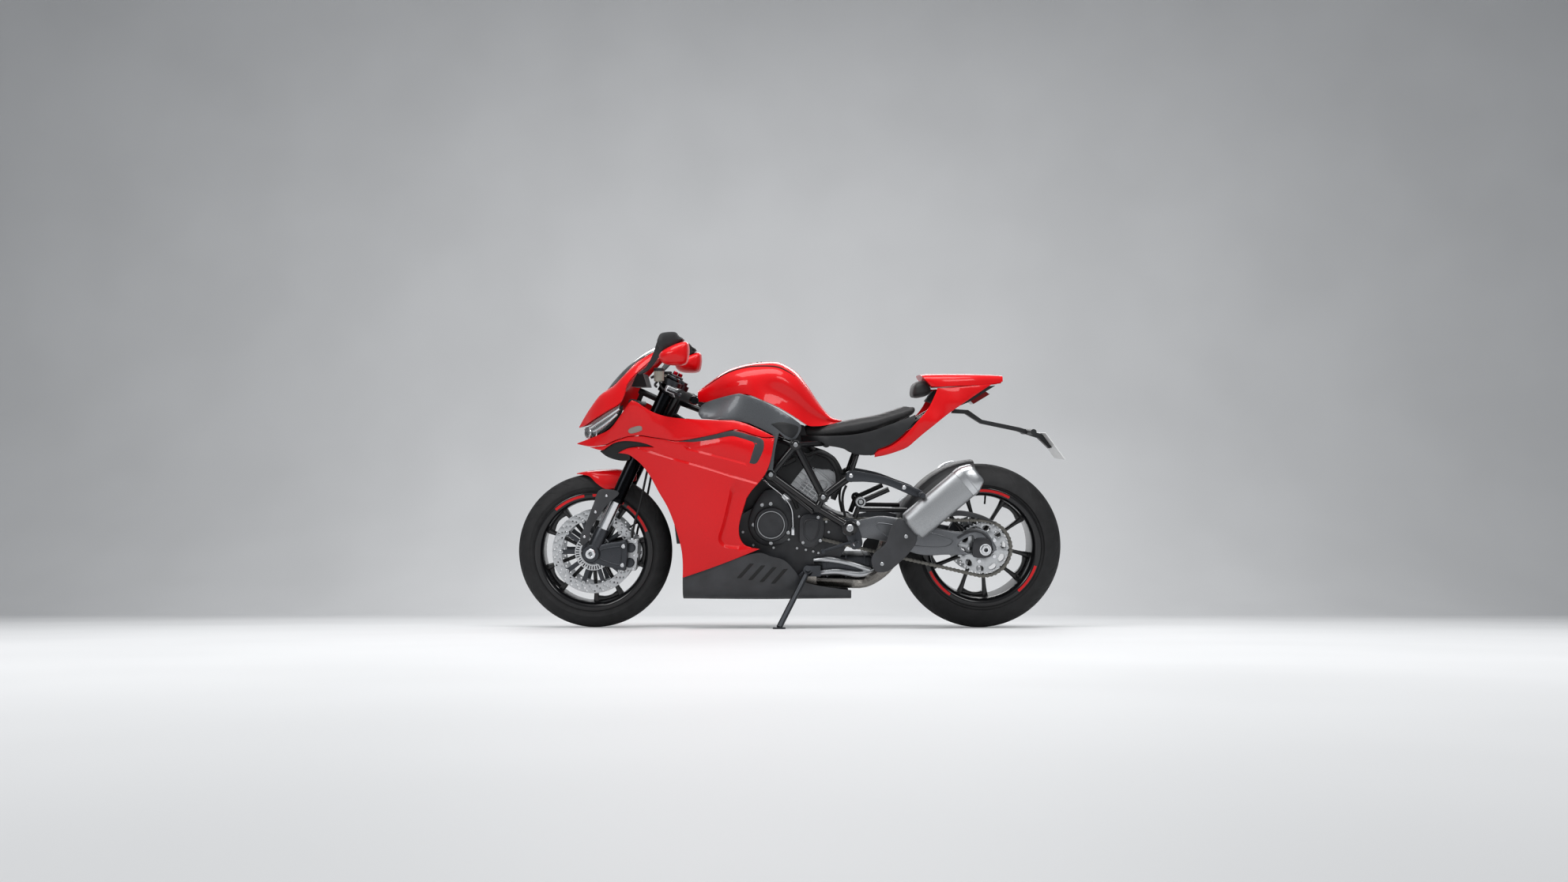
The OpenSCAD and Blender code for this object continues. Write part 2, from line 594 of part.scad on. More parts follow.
module rim(rim_half, hub_r, hub_low, hub_high, turn_share) {
    difference() {
        union() {
            rotate_extrude() rim_section(rim_half);
            spokes(hub_r, turn_share);
            translate([0, 0, hub_low]) cylinder(r = hub_r, h = hub_high - hub_low);
        }
        translate([0, 0, hub_low - over]) cylinder(r = axle_r + running, h = hub_high - hub_low + 2 * over);
    }
}

// A brake disc with its carrier, seated on a hub's face
module disc(r) {
    difference() {
        union() {
            difference() {
                cylinder(r = r, h = disc_t);
                translate([0, 0, -over]) cylinder(r = r - disc_band, h = disc_t + 2 * over);
            }
            cylinder(r = carrier_r, h = disc_t);
            for (k = [1 : disc_arms])
                rotate(k * 360 / disc_arms) translate([carrier_r - arm_w, -arm_w / 2, 0])
                    cube([r - disc_band - carrier_r + 2 * arm_w, arm_w, disc_t]);
        }
        translate([0, 0, -over]) cylinder(r = axle_r + running, h = disc_t + 2 * over);
    }
}

module front_tyre() {
    color("dimgray") at_front() rotate_extrude() tyre_section(front_tyre_r, front_tyre_w, front_rim_half);
}
module front_rim() {
    color("black") at_front() rim(front_rim_half, front_hub_r, -front_hub_l / 2, front_hub_l / 2, front_turn_share);
}
module front_discs() {
    color("silver") at_front()
        for (side = [0, 1]) mirror([0, 0, side]) translate([0, 0, front_hub_l / 2]) disc(front_disc_r);
}
module rear_tyre() {
    color("dimgray") at_rear() rotate_extrude() tyre_section(rear_tyre_r, rear_tyre_w, rear_rim_half);
}
module rear_rim() {
    color("black") at_rear()
        rim(rear_rim_half, rear_hub_r, -rear_hub_l / 2, sprocket_y - sprocket_t / 2, rear_turn_share);
}
module rear_disc() {
    color("silver") at_rear() translate([0, 0, -rear_hub_l / 2 - disc_t]) disc(rear_disc_r);
}

// A sprocket's outline with round-bottomed teeth
module sprocket_outline(teeth) {
    pitch_r = chain_pitch / 2 / sin(180 / teeth);
    polygon([for (k = [0 : teeth * 4 - 1])
        let (a = k * 90 / teeth, r = pitch_r + [tooth_h, -tooth_h, -tooth_h, tooth_h][k % 4])
        [r * cos(a), r * sin(a)]]);
}
module rear_sprocket() {
    slot_mid = (sprocket_r + rear_hub_r) / 2;
    color("gray") at_rear() translate([0, 0, sprocket_y - sprocket_t / 2]) difference() {
        linear_extrude(sprocket_t) difference() {
            sprocket_outline(rear_teeth);
            for (k = [1 : slots]) rotate(k * 360 / slots) translate([slot_mid, 0])
                square([slot_l, slot_w], center = true);
        }
        translate([0, 0, -over]) cylinder(r = axle_r + running, h = sprocket_t + 2 * over);
    }
}

// A caliper that straddles a disc, with its middle at a radius from the axle
module caliper(r, low, l, h, t) {
    difference() {
        translate([r - h / 2, -l / 2, low + disc_t / 2 - t / 2]) cube([h, l, t]);
        translate([0, 0, low - pad_gap]) cylinder(r = r + h / 4 + pad_gap, h = disc_t + 2 * pad_gap);
    }
}
module front_calipers() {
    color("dimgray") at_front()
        for (side = [0, 1]) mirror([0, 0, side]) rotate(front_caliper_angle)
            caliper(front_disc_r - caliper_h / 4, front_hub_l / 2, caliper_l, caliper_h, caliper_t);
}
module rear_caliper() {
    low = -rear_hub_l / 2 - disc_t;
    color("dimgray") at_rear() rotate(rear_caliper_angle)
        caliper(rear_disc_r - rear_caliper_h / 4, low, rear_caliper_l, rear_caliper_h, rear_caliper_t);
    color("dimgray") at_rear() rotate(rear_caliper_angle)
        translate([0, 0, low + disc_t / 2 - rear_caliper_t / 2 - bracket_t]) linear_extrude(bracket_t) difference() {
            union() {
                circle(bracket_r);
                translate([0, -bracket_w / 2]) square([rear_disc_r, bracket_w]);
            }
            circle(collar_r + fit);
        }
}

// Axles, hollow from end to end, with the collars that keep the wheels in the middle
module axle(out, low, high) {
    difference() {
        union() {
            translate([0, 0, -out]) cylinder(r = axle_r, h = 2 * out);
            translate([0, 0, high[0]]) cylinder(r = collar_r, h = high[1] - high[0]);
            translate([0, 0, low[0]]) cylinder(r = collar_r, h = low[1] - low[0]);
        }
        translate([0, 0, -out - over]) cylinder(r = axle_bore_r, h = 2 * (out + over));
    }
}
module front_axle() {
    inner = front_hub_l / 2 + disc_t + running;
    color("gray") at_front() axle(axle_out, [-clamp_in + fit, -inner], [inner, clamp_in - fit]);
}
module rear_axle() {
    arm = swingarm_w / 2 - swingarm_t - fit;
    left = sprocket_y + sprocket_t / 2 + running;
    right = -rear_hub_l / 2 - disc_t - running;
    color("gray") at_rear() axle(swingarm_w / 2 + rear_axle_end, [-arm, right], [left, arm]);
}

// Both fork legs, with the first on the left
module legs() {
    parked() on_fork() for (side = [-1, 1]) translate([0, side * fork_spread / 2, 0]) children();
}
module fork_tubes() {
    color("black") legs() translate([0, 0, tube_low]) cylinder(r = fork_tube_r, h = tube_top - tube_low);
}
module fork_sliders() {
    color("silver") legs() translate([0, 0, foot_top + fit])
        cylinder(r = fork_slider_r, h = tube_low - foot_top - 2 * fit);
}
module fork_feet() {
    reach = front_disc_r - caliper_h / 4;
    color("dimgray") difference() {
        union() {
            legs() translate([0, 0, axle_r]) cylinder(r = foot_r, h = foot_top - axle_r);
            at_front() for (side = [0, 1]) mirror([0, 0, side]) {
                translate([0, 0, clamp_in]) cylinder(r = foot_clamp_r, h = foot_clamp_out - clamp_in);
                translate([0, 0, foot_in]) linear_extrude(foot_out - foot_in)
                    polygon([for (s = foot_shares) s * reach]);
            }
        }
        at_front() translate([0, 0, -axle_out]) cylinder(r = axle_r + fit / 2, h = 2 * axle_out);
    }
}
// Hoses from the tops of the calipers to the underside of the lower yoke
module brake_hoses() {
    reach = front_disc_r - caliper_h / 4;
    middle = [front_x, 0, front_tyre_r];
    top = middle
        + [reach * cos(front_caliper_angle) - caliper_l / 2 * sin(front_caliper_angle),
            -front_hub_l / 2 - disc_t / 2 - caliper_t / 3,
            reach * sin(front_caliper_angle) + caliper_l / 2 * cos(front_caliper_angle)];
    out = [-sin(front_caliper_angle), 0, cos(front_caliper_angle)];
    back = hose_end_share * fork_spread / 2 * [cos(rake), 0, -sin(rake)];
    axis = [sin(rake), 0, cos(rake)];
    end = [front_x, -hose_side_share * fork_spread, front_tyre_r] + back + (yoke_low - fit) * axis;
    color("black") parked() both()
        pipe(concat([top + out * fit, top + out * hose_rise],
            [for (s = hose_shares) middle + [s[0] * front_tyre_r, s[1] * fork_spread, s[2] * front_tyre_r]],
            [end - axis * hose_rise, end]), hose_r, 27, 8);
}
module yoke(at, t, r) {
    translate([0, 0, at]) linear_extrude(t) difference() {
        union() {
            for (side = [-1, 1]) translate([0, side * fork_spread / 2]) circle(r);
            polygon([[-r / 2, -fork_spread / 2], [r / 2, -fork_spread / 2], [fork_offset + r / 2, 0],
                [r / 2, fork_spread / 2], [-r / 2, fork_spread / 2]]);
            translate([fork_offset, 0]) circle(stem_nut_r + r / 4);
        }
        for (side = [-1, 1]) translate([0, side * fork_spread / 2]) circle(fork_tube_r + fit);
    }
}
module yokes() {
    color("dimgray") parked() on_fork() difference() {
        union() {
            yoke(yoke_low, yoke_low_t, yoke_r);
            yoke(yoke_top, yoke_top_t, yoke_r);
            translate([fork_offset, 0, yoke_low]) cylinder(r = stem_r, h = yoke_top + yoke_top_t - yoke_low);
            translate([fork_offset, 0, yoke_top]) cylinder(r = stem_nut_r, h = yoke_top_t + stem_nut_h);
        }
        translate([fork_offset, 0, yoke_low - over]) cylinder(r = stem_bore_r, h = stem_bore_l + over);
    }
}

// The frame of each bar, with the bar along Z from the middle of its clamp
module on_bars() {
    parked() on_fork() for (side = [0, 1]) mirror([0, side, 0])
        translate([0, -fork_spread / 2, bar_at + clamp_h / 2])
            rotate([90 + bar_droop, 0, bar_sweep]) children();
}
module handlebars() {
    color("black") difference() {
        union() {
            legs() translate([0, 0, bar_at]) cylinder(r = clamp_r, h = clamp_h);
            on_bars() cylinder(r = bar_r, h = bar_l + clamp_r);
            on_bars() translate([0, 0, bar_l + clamp_r]) cylinder(r = bar_end_r, h = bar_end_l);
        }
        legs() translate([0, 0, bar_at - over]) cylinder(r = fork_tube_r + fit, h = clamp_h + 2 * over);
    }
}
module grips() {
    start = bar_l + clamp_r - fit - grip_l;
    color("dimgray") on_bars() translate([0, 0, start]) difference() {
        cylinder(r = grip_r, h = grip_l);
        translate([0, 0, -over]) cylinder(r = bar_r + fit, h = grip_l + 2 * over);
    }
}
module levers() {
    start = bar_l + clamp_r - grip_l - 2 * fit - perch_l;
    color("black") on_bars() difference() {
        union() {
            translate([0, 0, start]) cylinder(r = perch_r, h = perch_l);
            bar([-perch_r / 2, 0, start + perch_l / 2], [-lever_reach, 0, start + perch_l], lever_r);
            bar([-lever_reach, 0, start + perch_l - lever_r], [-lever_reach + lever_r, 0, start + lever_l],
                lever_r);
        }
        translate([0, 0, start - over]) cylinder(r = bar_r + fit, h = perch_l + 2 * over);
    }
}
// A section of the fender over the tyre, in the wheel's frame, drawn in by a thickness
function fender_ring(t, drop, n) =
    let (crown = curve(fender_crown_shares, t) * front_tyre_r, edge = curve(fender_edge_shares, t) * front_tyre_r)
    let (half = curve(fender_half_shares, t) * fender_half, inner = crown * (1 - drop / norm(crown)))
    [for (k = [0 : n]) let (a = 180 * k / n, f = pow(sin(a), fender_round_share), p = mixed(edge, inner, f))
        [p[0], p[1], max(half - drop, drop / 4) * soft(cos(a), fender_round_share)]];
module front_fender() {
    along = 20;
    around = 16;
    wall = fork_spread / 2 - fork_tube_r - fit;
    color("red") at_front() {
        shell([for (k = [0 : along]) each fender_ring(k / along, 0, around)],
            [for (k = [0 : along]) each fender_ring(k / along, skin_t, around)], along, around);
        for (face = [0, 1]) mirror([0, 0, face]) rotate(90 - rake)
            translate([front_tyre_r * fender_peg_share, 0, fender_half - 2 * skin_t])
                cylinder(r = fender_peg_r, h = wall - fender_half + 2 * skin_t);
    }
}
module fork_guards() {
    side = fork_spread / 2 + fork_tube_r + fit;
    color("dimgray") at_front() for (face = [0, 1]) mirror([0, 0, face])
        translate([0, 0, side]) linear_extrude(guard_t) polygon(guard_shares * front_tyre_r);
}

// Frame, engine and drive

// A point on the steering axis at a distance along the fork
function on_head(s) = [front_x + s * sin(rake) + fork_offset * cos(rake), 0,
    front_tyre_r + s * cos(rake) - fork_offset * sin(rake)];

// An outline of shares drawn in the side view and given a width, from the left end to the right end
module slab(shares, left, right) {
    translate([0, right, 0]) rotate([90, 0, 0]) linear_extrude(right - left) polygon(flat_places(shares));
}

// A round boss across the motorcycle, placed in the side view
module boss(shares, r, left, right) {
    translate([shares[0] * wheelbase, right, shares[1] * body_h]) rotate([90, 0, 0])
        cylinder(r = r, h = right - left);
}
module frame() {
    upper = place(upper_boss_shares);
    lower = place(lower_boss_shares);
    rear = place(rear_boss_shares);
    joint = place(upper_joint_shares);
    knee = place(knee_shares);
    pivot = place([pivot_shares[0], 0, pivot_shares[1]]) + [0, -pivot_out + pivot_boss_l / 2, 0];
    low = yoke_low + yoke_low_t + running;
    case_side = crankcase_w / 2 + fit;
    color("black") parked() difference() {
        union() {
            on_fork() translate([fork_offset, 0, low]) cylinder(r = head_r, h = yoke_top - running - low);
            both() {
                bar(on_head(yoke_top * head_upper_share), upper, frame_tube_r);
                bar(on_head(yoke_top * head_lower_share), lower, frame_tube_r);
                bar(upper, joint, frame_tube_r);
                bar(lower, knee, frame_tube_r);
                bar(joint, rear, frame_tube_r);
                bar(upper, lower, frame_tube_r);
                bar(knee, joint, frame_tube_r);
                bar(knee, pivot, frame_tube_r);
                for (p = [upper, lower, rear, joint])
                    translate(p) rotate([90, 0, 0]) cylinder(r = boss_r, h = boss_l, center = true);
                boss([knee_shares[0], knee_shares[2]], frame_tube_r, knee[1] - frame_tube_r, -case_side);
                boss(pivot_shares, pivot_boss_r, -pivot_out, -pivot_out + pivot_boss_l);
            }
        }
        on_fork() translate([fork_offset, 0, low - over])
            cylinder(r = stem_r + running, h = yoke_top - low + 2 * over);
        boss(pivot_shares, pivot_r + fit, -pivot_out - over, pivot_out + over);
    }
}
module lug(at) {
    translate(at) rotate([90, 0, 0]) cylinder(r = lug_r, h = lug_l, center = true);
}
module subframe() {
    upper = place(upper_boss_shares);
    rear = place(rear_boss_shares);
    under = place(under_seat_shares);
    joint = place(tail_joint_shares);
    end = place(tail_end_shares);
    across = cross_r - end[1];
    eye = rear + [0, boss_l / 2 + fit + eye_l / 2, 0];
    color("black") parked() difference() {
        union() {
            both() {
                bar(upper, under, subframe_r);
                bar(under, joint, rail_r);
                bar(joint, end, subframe_r);
                bar(eye, mixed(under, joint, brace_share), brace_r);
                translate(eye) rotate([90, 0, 0]) cylinder(r = lug_r, h = eye_l, center = true);
                lug(under);
                lug(joint);
            }
            boss([tail_end_shares[0], tail_end_shares[2]], cross_r, -across, across);
        }
        both() translate(upper) rotate([90, 0, 0]) cylinder(r = boss_r + fit, h = boss_l + over, center = true);
    }
}
module crankcase() {
    half = crankcase_w / 2;
    color("dimgray") parked() difference() {
        slab(case_shares, -half, half);
        boss(pivot_shares, pivot_r + fit, -half - over, half + over);
    }
}
module cylinder_block(shares, tilt) {
    translate([shares[0] * wheelbase, 0, shares[1] * body_h]) rotate([0, tilt, 0]) {
        translate([-cylinder_d / 2, -cylinder_w / 2, 0]) cube([cylinder_d, cylinder_w, cylinder_l]);
        for (k = [1 : fins])
            translate([-cylinder_d / 2 - fin_out, -cylinder_w / 2 - fin_out, cylinder_l / 3 + k * fin_gap])
                cube([cylinder_d + 2 * fin_out, cylinder_w + 2 * fin_out, fin_t]);
    }
}
module cylinders() {
    half = crankcase_w / 2 + over;
    color("silver") parked() difference() {
        union() {
            cylinder_block(front_cylinder_shares, front_cylinder_tilt);
            cylinder_block(rear_cylinder_shares, rear_cylinder_tilt);
        }
        slab(case_shares, -half, half);
    }
}
// A round cover with a chamfered rim and a raised ring
module round_cover(r) {
    ring = r * cover_ring_share;
    rotate_extrude() polygon([[0, 0], [r, 0], [r, cover_h - 2 * cover_step], [r - cover_step, cover_h - cover_step],
        [ring, cover_h - cover_step], [ring, cover_h], [ring - cover_step, cover_h],
        [ring - cover_step, cover_h - cover_step], [0, cover_h - cover_step]]);
}
module engine_covers() {
    side = crankcase_w / 2 + fit;
    color("black") parked() {
        translate([cover_shares[0] * wheelbase, -side, cover_shares[1] * body_h]) rotate([90, 0, 0])
            round_cover(cover_r);
        translate([clutch_shares[0] * wheelbase, side, clutch_shares[1] * body_h]) rotate([-90, 0, 0])
            round_cover(clutch_r);
    }
}
module airbox() {
    color("black") parked() difference() {
        slab(airbox_shares, -airbox_w / 2, airbox_w / 2);
        cylinder_block(rear_cylinder_shares, rear_cylinder_tilt);
    }
}
module sprocket_cover() {
    side = sprocket_y + chain_w / 2 + fin_t;
    color("black") parked() {
        slab(cover_plate_shares, -side - cover_plate_t, -side);
        for (s = cover_post_shares) boss(s, cover_post_r, -side - over, -crankcase_w / 2 - fit);
    }
}
// A point at a distance along the closed run of the chain, lifted off it by an amount
function chain_point(s, up) =
    let (p = [pinion_shares[0] * wheelbase, pinion_shares[1] * body_h], a = [rear_x, rear_tyre_r])
    let (d = norm(a - p), base = atan2(a[1] - p[1], a[0] - p[0]), wrap = acos((pinion_r - sprocket_r) / d))
    let (run = d * sin(wrap), round = sprocket_r * wrap * PI / 90)
    let (n1 = [cos(base + wrap), sin(base + wrap)], n2 = [cos(base - wrap), sin(base - wrap)])
    s < run ? mixed(p + n1 * pinion_r, a + n1 * sprocket_r, s / run) + n1 * up :
    s < run + round ? let (t = base + wrap - (s - run) / sprocket_r * 180 / PI)
        a + [cos(t), sin(t)] * (sprocket_r + up) :
    s < 2 * run + round ? mixed(a + n2 * sprocket_r, p + n2 * pinion_r, (s - run - round) / run) + n2 * up :
    let (t = base - wrap - (s - 2 * run - round) / pinion_r * 180 / PI) p + [cos(t), sin(t)] * (pinion_r + up);
function chain_length() =
    let (d = norm([rear_x - pinion_shares[0] * wheelbase, rear_tyre_r - pinion_shares[1] * body_h]))
    let (wrap = acos((pinion_r - sprocket_r) / d))
    2 * d * sin(wrap) + sprocket_r * wrap * PI / 90 + pinion_r * (180 - wrap) * PI / 90;
module chain() {
    links = round(chain_length() / chain_pitch);
    half = chain_length() / links / 2;
    low = tooth_h + running;
    color("gray") parked() translate([0, -sprocket_y + chain_w / 2, 0]) rotate([90, 0, 0])
        linear_extrude(chain_w) difference() {
            polygon([for (k = [0 : 2 * links - 1])
                chain_point(k * half, low + chain_h * (k % 2 == 0 ? 1 : waist_share))]);
            polygon([for (k = [0 : 2 * links - 1]) chain_point(k * half, low)]);
        }
}
module radiator() {
    fore = front_x + front_tyre_r + radiator_gap;
    low = radiator_low_share * body_h;
    high = radiator_high_share * body_h;
    color("dimgray") parked() translate([0, radiator_w / 2, 0]) rotate([90, 0, 0]) linear_extrude(radiator_w)
        polygon([[fore, low], [fore + radiator_t, low], [fore + radiator_t - radiator_lean, high],
            [fore - radiator_lean, high]]);
}
module exhaust_pipes() {
    color("silver") parked() {
        slab(collector_shares, -collector_w / 2, collector_w / 2);
        both() pipe([for (s = pipe_shares) [s[0] * wheelbase, s[1] * silencer_y, s[2] * body_h]], pipe_r, 24);
    }
}
module silencers() {
    color("gray") parked() both()
        translate([silencer_shares[0] * wheelbase, -silencer_y, silencer_shares[1] * body_h])
        rotate([0, 90 - silencer_rise, 0]) difference() {
            union() {
                translate([0, 0, -silencer_neck])
                    cylinder(r1 = silencer_neck_r, r2 = silencer_r, h = silencer_neck);
                cylinder(r = silencer_r, h = silencer_l);
                translate([0, 0, silencer_l])
                    cylinder(r1 = silencer_r, r2 = silencer_end_r, h = silencer_cap);
            }
            translate([0, 0, silencer_l + silencer_cap - outlet_l]) cylinder(r = outlet_r, h = outlet_l + over);
        }
}
module silencer_shields() {
    side = silencer_y + pipe_r + running;
    color("dimgray") parked() both() slab(shield_shares, -side - shield_t, -side);
}
// A plate in the side view, drawn along the line from the swingarm's pivot to the rear axle
module arm_plate(left, right) {
    pivot = [pivot_shares[0] * wheelbase, pivot_shares[1] * body_h];
    way = [rear_x, rear_tyre_r] - pivot;
    translate([pivot[0], right, pivot[1]]) rotate([90, 0, 0]) linear_extrude(right - left)
        rotate(atan2(way[1], way[0])) children();
}
module swingarm() {
    out = swingarm_w / 2;
    in = out - swingarm_t;
    l = norm([rear_x - pivot_shares[0] * wheelbase, rear_tyre_r - pivot_shares[1] * body_h]);
    brace_end = l - rear_tyre_r - arm_gap;
    color("dimgray") parked() difference() {
        union() {
            both() arm_plate(-out, -in) difference() {
                polygon(arm_shares * l);
                for (eye = eye_shares) polygon(eye * l);
            }
            arm_plate(-in - over, in + over)
                polygon([[brace_from_share * l, brace_low_share * l], [brace_end, brace_low_share * l],
                    [brace_end, brace_high_share * l], [brace_from_share * l, brace_high_share * l]]);
            boss(pivot_shares, pivot_r, -pivot_out, pivot_out);
        }
        translate([rear_x, out + over, rear_tyre_r]) rotate([90, 0, 0])
            cylinder(r = axle_r + fit / 2, h = 2 * (out + over));
    }
}
module hugger() {
    inner = rear_tyre_r + hugger_gap;
    color("black") at_rear() rotate([0, 0, hugger_from]) rotate_extrude(angle = hugger_to - hugger_from)
        polygon(concat(
            [for (s = [-1 : 0.125 : 1]) [inner - hugger_drop * pow(s, 4), hugger_half * s]],
            [for (s = [1 : -0.125 : -1]) [inner + skin_t - hugger_drop * pow(s, 4), (hugger_half + skin_t) * s]]));
}

// The frame of the side stand's hinge, with its axis along Z
module on_stand() {
    parked() translate(place(stand_shares)) rotate([90 - stand_tilt, 0, 0]) children();
}
module side_stand() {
    pivot = place(stand_shares);
    along = [0, -cos(stand_tilt), sin(stand_tilt)] * stand_boss_h / 2;
    foot = [stand_foot_share * wheelbase, -stand_reach, ground(-stand_reach)];
    color("dimgray") difference() {
        union() {
            on_stand() cylinder(r = stand_boss_r, h = stand_boss_h);
            parked() bar(pivot + along, foot + [0, 0, stand_foot_t], stand_r);
            parked() translate(foot) rotate([-lean, 0, 0]) cylinder(r = stand_foot_r, h = stand_foot_t);
        }
        on_stand() translate([0, 0, -over]) cylinder(r = stand_pin_r + fit, h = stand_boss_h + 2 * over);
        parked() translate(foot) rotate([-lean, 0, 0]) translate([-stand_reach / 2, -stand_reach / 2, -stand_reach])
            cube(stand_reach);
    }
}
module stand_bracket() {
    side = crankcase_w / 2 + fit;
    pivot = place(stand_shares);
    color("dimgray") {
        parked() difference() {
            slab(stand_lug_shares, pivot[1], -side);
            translate(pivot) rotate([90 - stand_tilt, 0, 0]) translate([-body_w / 2, -body_w / 2, -running])
                cube(body_w);
        }
        on_stand() translate([0, 0, -stand_lug_h])
            cylinder(r = stand_pin_r, h = stand_lug_h + stand_boss_h + running + over);
        on_stand() translate([0, 0, stand_boss_h + running]) cylinder(r = stand_boss_r - stand_pin_r, h = stand_pin_r);
    }
}
module footrests() {
    side = swingarm_w / 2 + fit;
    color("black") parked() both() difference() {
        union() {
            slab(hanger_shares, -side - hanger_t, -side);
            boss(footrest_shares, footrest_r, -side - hanger_t - footrest_l, -side - hanger_t + over);
            bar([pedal_shares[0][0] * wheelbase, -side - hanger_t + pedal_r / 2, pedal_shares[0][1] * body_h],
                [pedal_shares[1][0] * wheelbase, -side - hanger_t + pedal_r / 2, pedal_shares[1][1] * body_h], pedal_r);
            boss(pedal_shares[1], pedal_peg_r, -side - hanger_t - pedal_peg_l, -side);
        }
        boss(pivot_shares, pivot_r + fit, -side - hanger_t - over, -side + over);
    }
}
module pillion_hangers() {
    side = -rear_boss_shares[1] * body_w + boss_l / 2 + fit;
    color("black") parked() both() {
        slab(pillion_shares, -side - hanger_t, -side);
        boss(pillion_rest_shares, pillion_rest_r, -side - pillion_rest_l, -side - hanger_t + over);
    }
}

// Bodywork

// A section with a flat bottom and a round back, from its place, top, bottom, half width and forward lean
function back_ring(s, e, n) =
    [for (k = [0 : n]) let (a = 180 * k / n, f = pow(sin(a), e))
        [(s[0] - s[4] * f) * wheelbase, s[3] * body_w * soft(cos(a), e), mixed(s[2], s[1], f) * body_h]];

// A section that is rounded above and below, from the same values
function round_ring(s, e, n) =
    [for (k = [0 : n - 1]) let (a = 360 * k / n, f = (1 + soft(sin(a), e)) / 2)
        [(s[0] - s[4] * f) * wheelbase, s[3] * body_w * soft(cos(a), e), mixed(s[2], s[1], f) * body_h]];

// An edge seen from the other side of the motorcycle
function mirrored(list) = [for (s = list) [s[0], -s[1], s[2]]];

// A shell on the left whose ends are straight between its two long edges
module strip(low, high, inward, nu, nv) {
    panel(places(low), places(high), places([low[0], high[0]]), places([low[len(low) - 1], high[len(high) - 1]]),
        inward, nu, nv);
}
module tank() {
    color("red") parked()
        skin([for (k = [0 : 24]) back_ring(curve(tank_shares, k / 24), tank_round_share, 20)]);
}
module tank_panels() {
    color("gray") parked() both() {
        strip(tank_panel_low_shares, tank_panel_high_shares, [0, skin_t, 0], 16, 4);
        strip(leg_low_shares, leg_high_shares, [0, skin_t, 0], 6, 6);
    }
}
module seat() {
    color("black") parked() skin([for (k = [0 : 18]) round_ring(curve(seat_shares, k / 18), pad_round_share, 24)]);
}
module tail_hump() {
    color("red") parked() skin([for (k = [0 : 16]) back_ring(curve(hump_shares, k / 16), hump_round_share, 16)]);
}
module tail_pad() {
    color("black") parked() skin([for (k = [0 : 8]) round_ring(curve(pad_shares, k / 8), pad_round_share, 20)]);
}
module tail_sides() {
    color("red") parked() both() strip(tail_low_shares, tail_high_shares, [0, skin_t, 0], 24, 6);
}
module side_covers() {
    color("black") parked() both()
        panel(places(cover_low_shares), places(cover_high_shares), places(cover_fore_shares), places(cover_aft_shares),
            [0, skin_t, 0], 14, 6);
}
module side_panels() {
    color("red") parked() both()
        panel(places(side_low_shares), places(side_high_shares), places(side_fore_shares), places(side_aft_shares),
            [0, skin_t, 0], 20, 20);
}
module shoulder_panels() {
    color("red") parked() both() strip(shoulder_low_shares, shoulder_high_shares, [0, skin_t, 0], 36, 5);
}
// A section of the belly pan between its two upper edges, drawn in by a thickness
function belly_ring(edge, t, n) =
    [for (k = [0 : n]) let (a = 180 * k / n)
        [edge[0], -(edge[1] + t) * soft(cos(a), belly_round_share),
            mixed(edge[2], belly_low_share * body_h + t, pow(sin(a), belly_round_share))]];
module belly_pan() {
    edges = [for (k = [0 : 24]) place(curve(belly_edge_shares, k / 24))];
    color("dimgray") parked() difference() {
        shell([for (e = edges) each belly_ring(e, 0, 20)], [for (e = edges) each belly_ring(e, skin_t, 20)], 24, 20);
        both() for (k = [0 : vents - 1])
            slab([for (s = vent_shares) s + k * vent_step_shares], -body_w / 2, -vent_in_share * body_w);
    }
}
module upper_cowl() {
    color("red") parked() {
        panel(places(nose_low_shares), places(mirrored(nose_low_shares)), places(nose_fore_shares),
            places(nose_aft_shares), [skin_t, 0, -skin_t], 14, 20);
        both() strip(cowl_arm_low_shares, cowl_arm_high_shares, [0, skin_t, -skin_t], 12, 6);
    }
}
module windscreen() {
    color("black") parked()
        panel(places(screen_edge_shares), places(mirrored(screen_edge_shares)), places(screen_fore_shares),
            places(screen_aft_shares), [0, 0, -skin_t], 14, 16);
}
module headlights() {
    color("lightgray") parked() both() strip(lamp_low_shares, lamp_high_shares, [skin_t, 2 * skin_t, 0], 12, 5);
}
module nose_grille() {
    color("black") parked() strip(grille_low_shares, grille_high_shares, [2 * skin_t, 0, 0], 8, 3);
}
module fairing_stay() {
    at = tube_top * stay_at_share;
    forward = place(stay_end_shares) - on_head(at);
    tube = place([stay_tube_shares[0], 0, stay_tube_shares[1]]);
    color("black") parked() difference() {
        union() {
            bar(on_head(at), on_head(at) + forward, stay_r);
            bar(tube, on_head(at) + forward * post_share, post_r);
            boss(stay_tube_shares, stay_r, -stay_tube_half, stay_tube_half);
        }
        on_fork() translate([fork_offset, 0, yoke_low]) cylinder(r = head_r + fit, h = tube_top - yoke_low);
    }
}
module dash() {
    color("black") parked() slab(dash_shares, -dash_w / 2, dash_w / 2);
}
module tail_light() {
    color("darkred") parked() slab(tail_light_shares, -undertail_w / 2, undertail_w / 2);
}
module undertail() {
    color("black") parked() {
        difference() {
            slab(undertail_shares, -undertail_w / 2, undertail_w / 2);
            boss([tail_end_shares[0], tail_end_shares[2]], cross_r + fit, -undertail_w, undertail_w);
        }
        slab(holder_shares, -holder_w / 2, holder_w / 2);
        boss(indicator_shares, indicator_r, -indicator_l, indicator_l);
    }
}
module number_plate() {
    color("white") parked() slab(plate_shares, -plate_w / 2, plate_w / 2);
}
module mirrors() {
    middle = place(mirror_shares);
    n = len(mirror_end_shares) - 1;
    color("red") parked() both()
        skin([for (k = [0 : n]) [for (p = mirror_section_shares)
            middle + [p[0] * mirror_l * mirror_end_shares[k], (k / n - 1 / 2) * mirror_w,
                p[1] * mirror_h * mirror_end_shares[k]]]]);
}
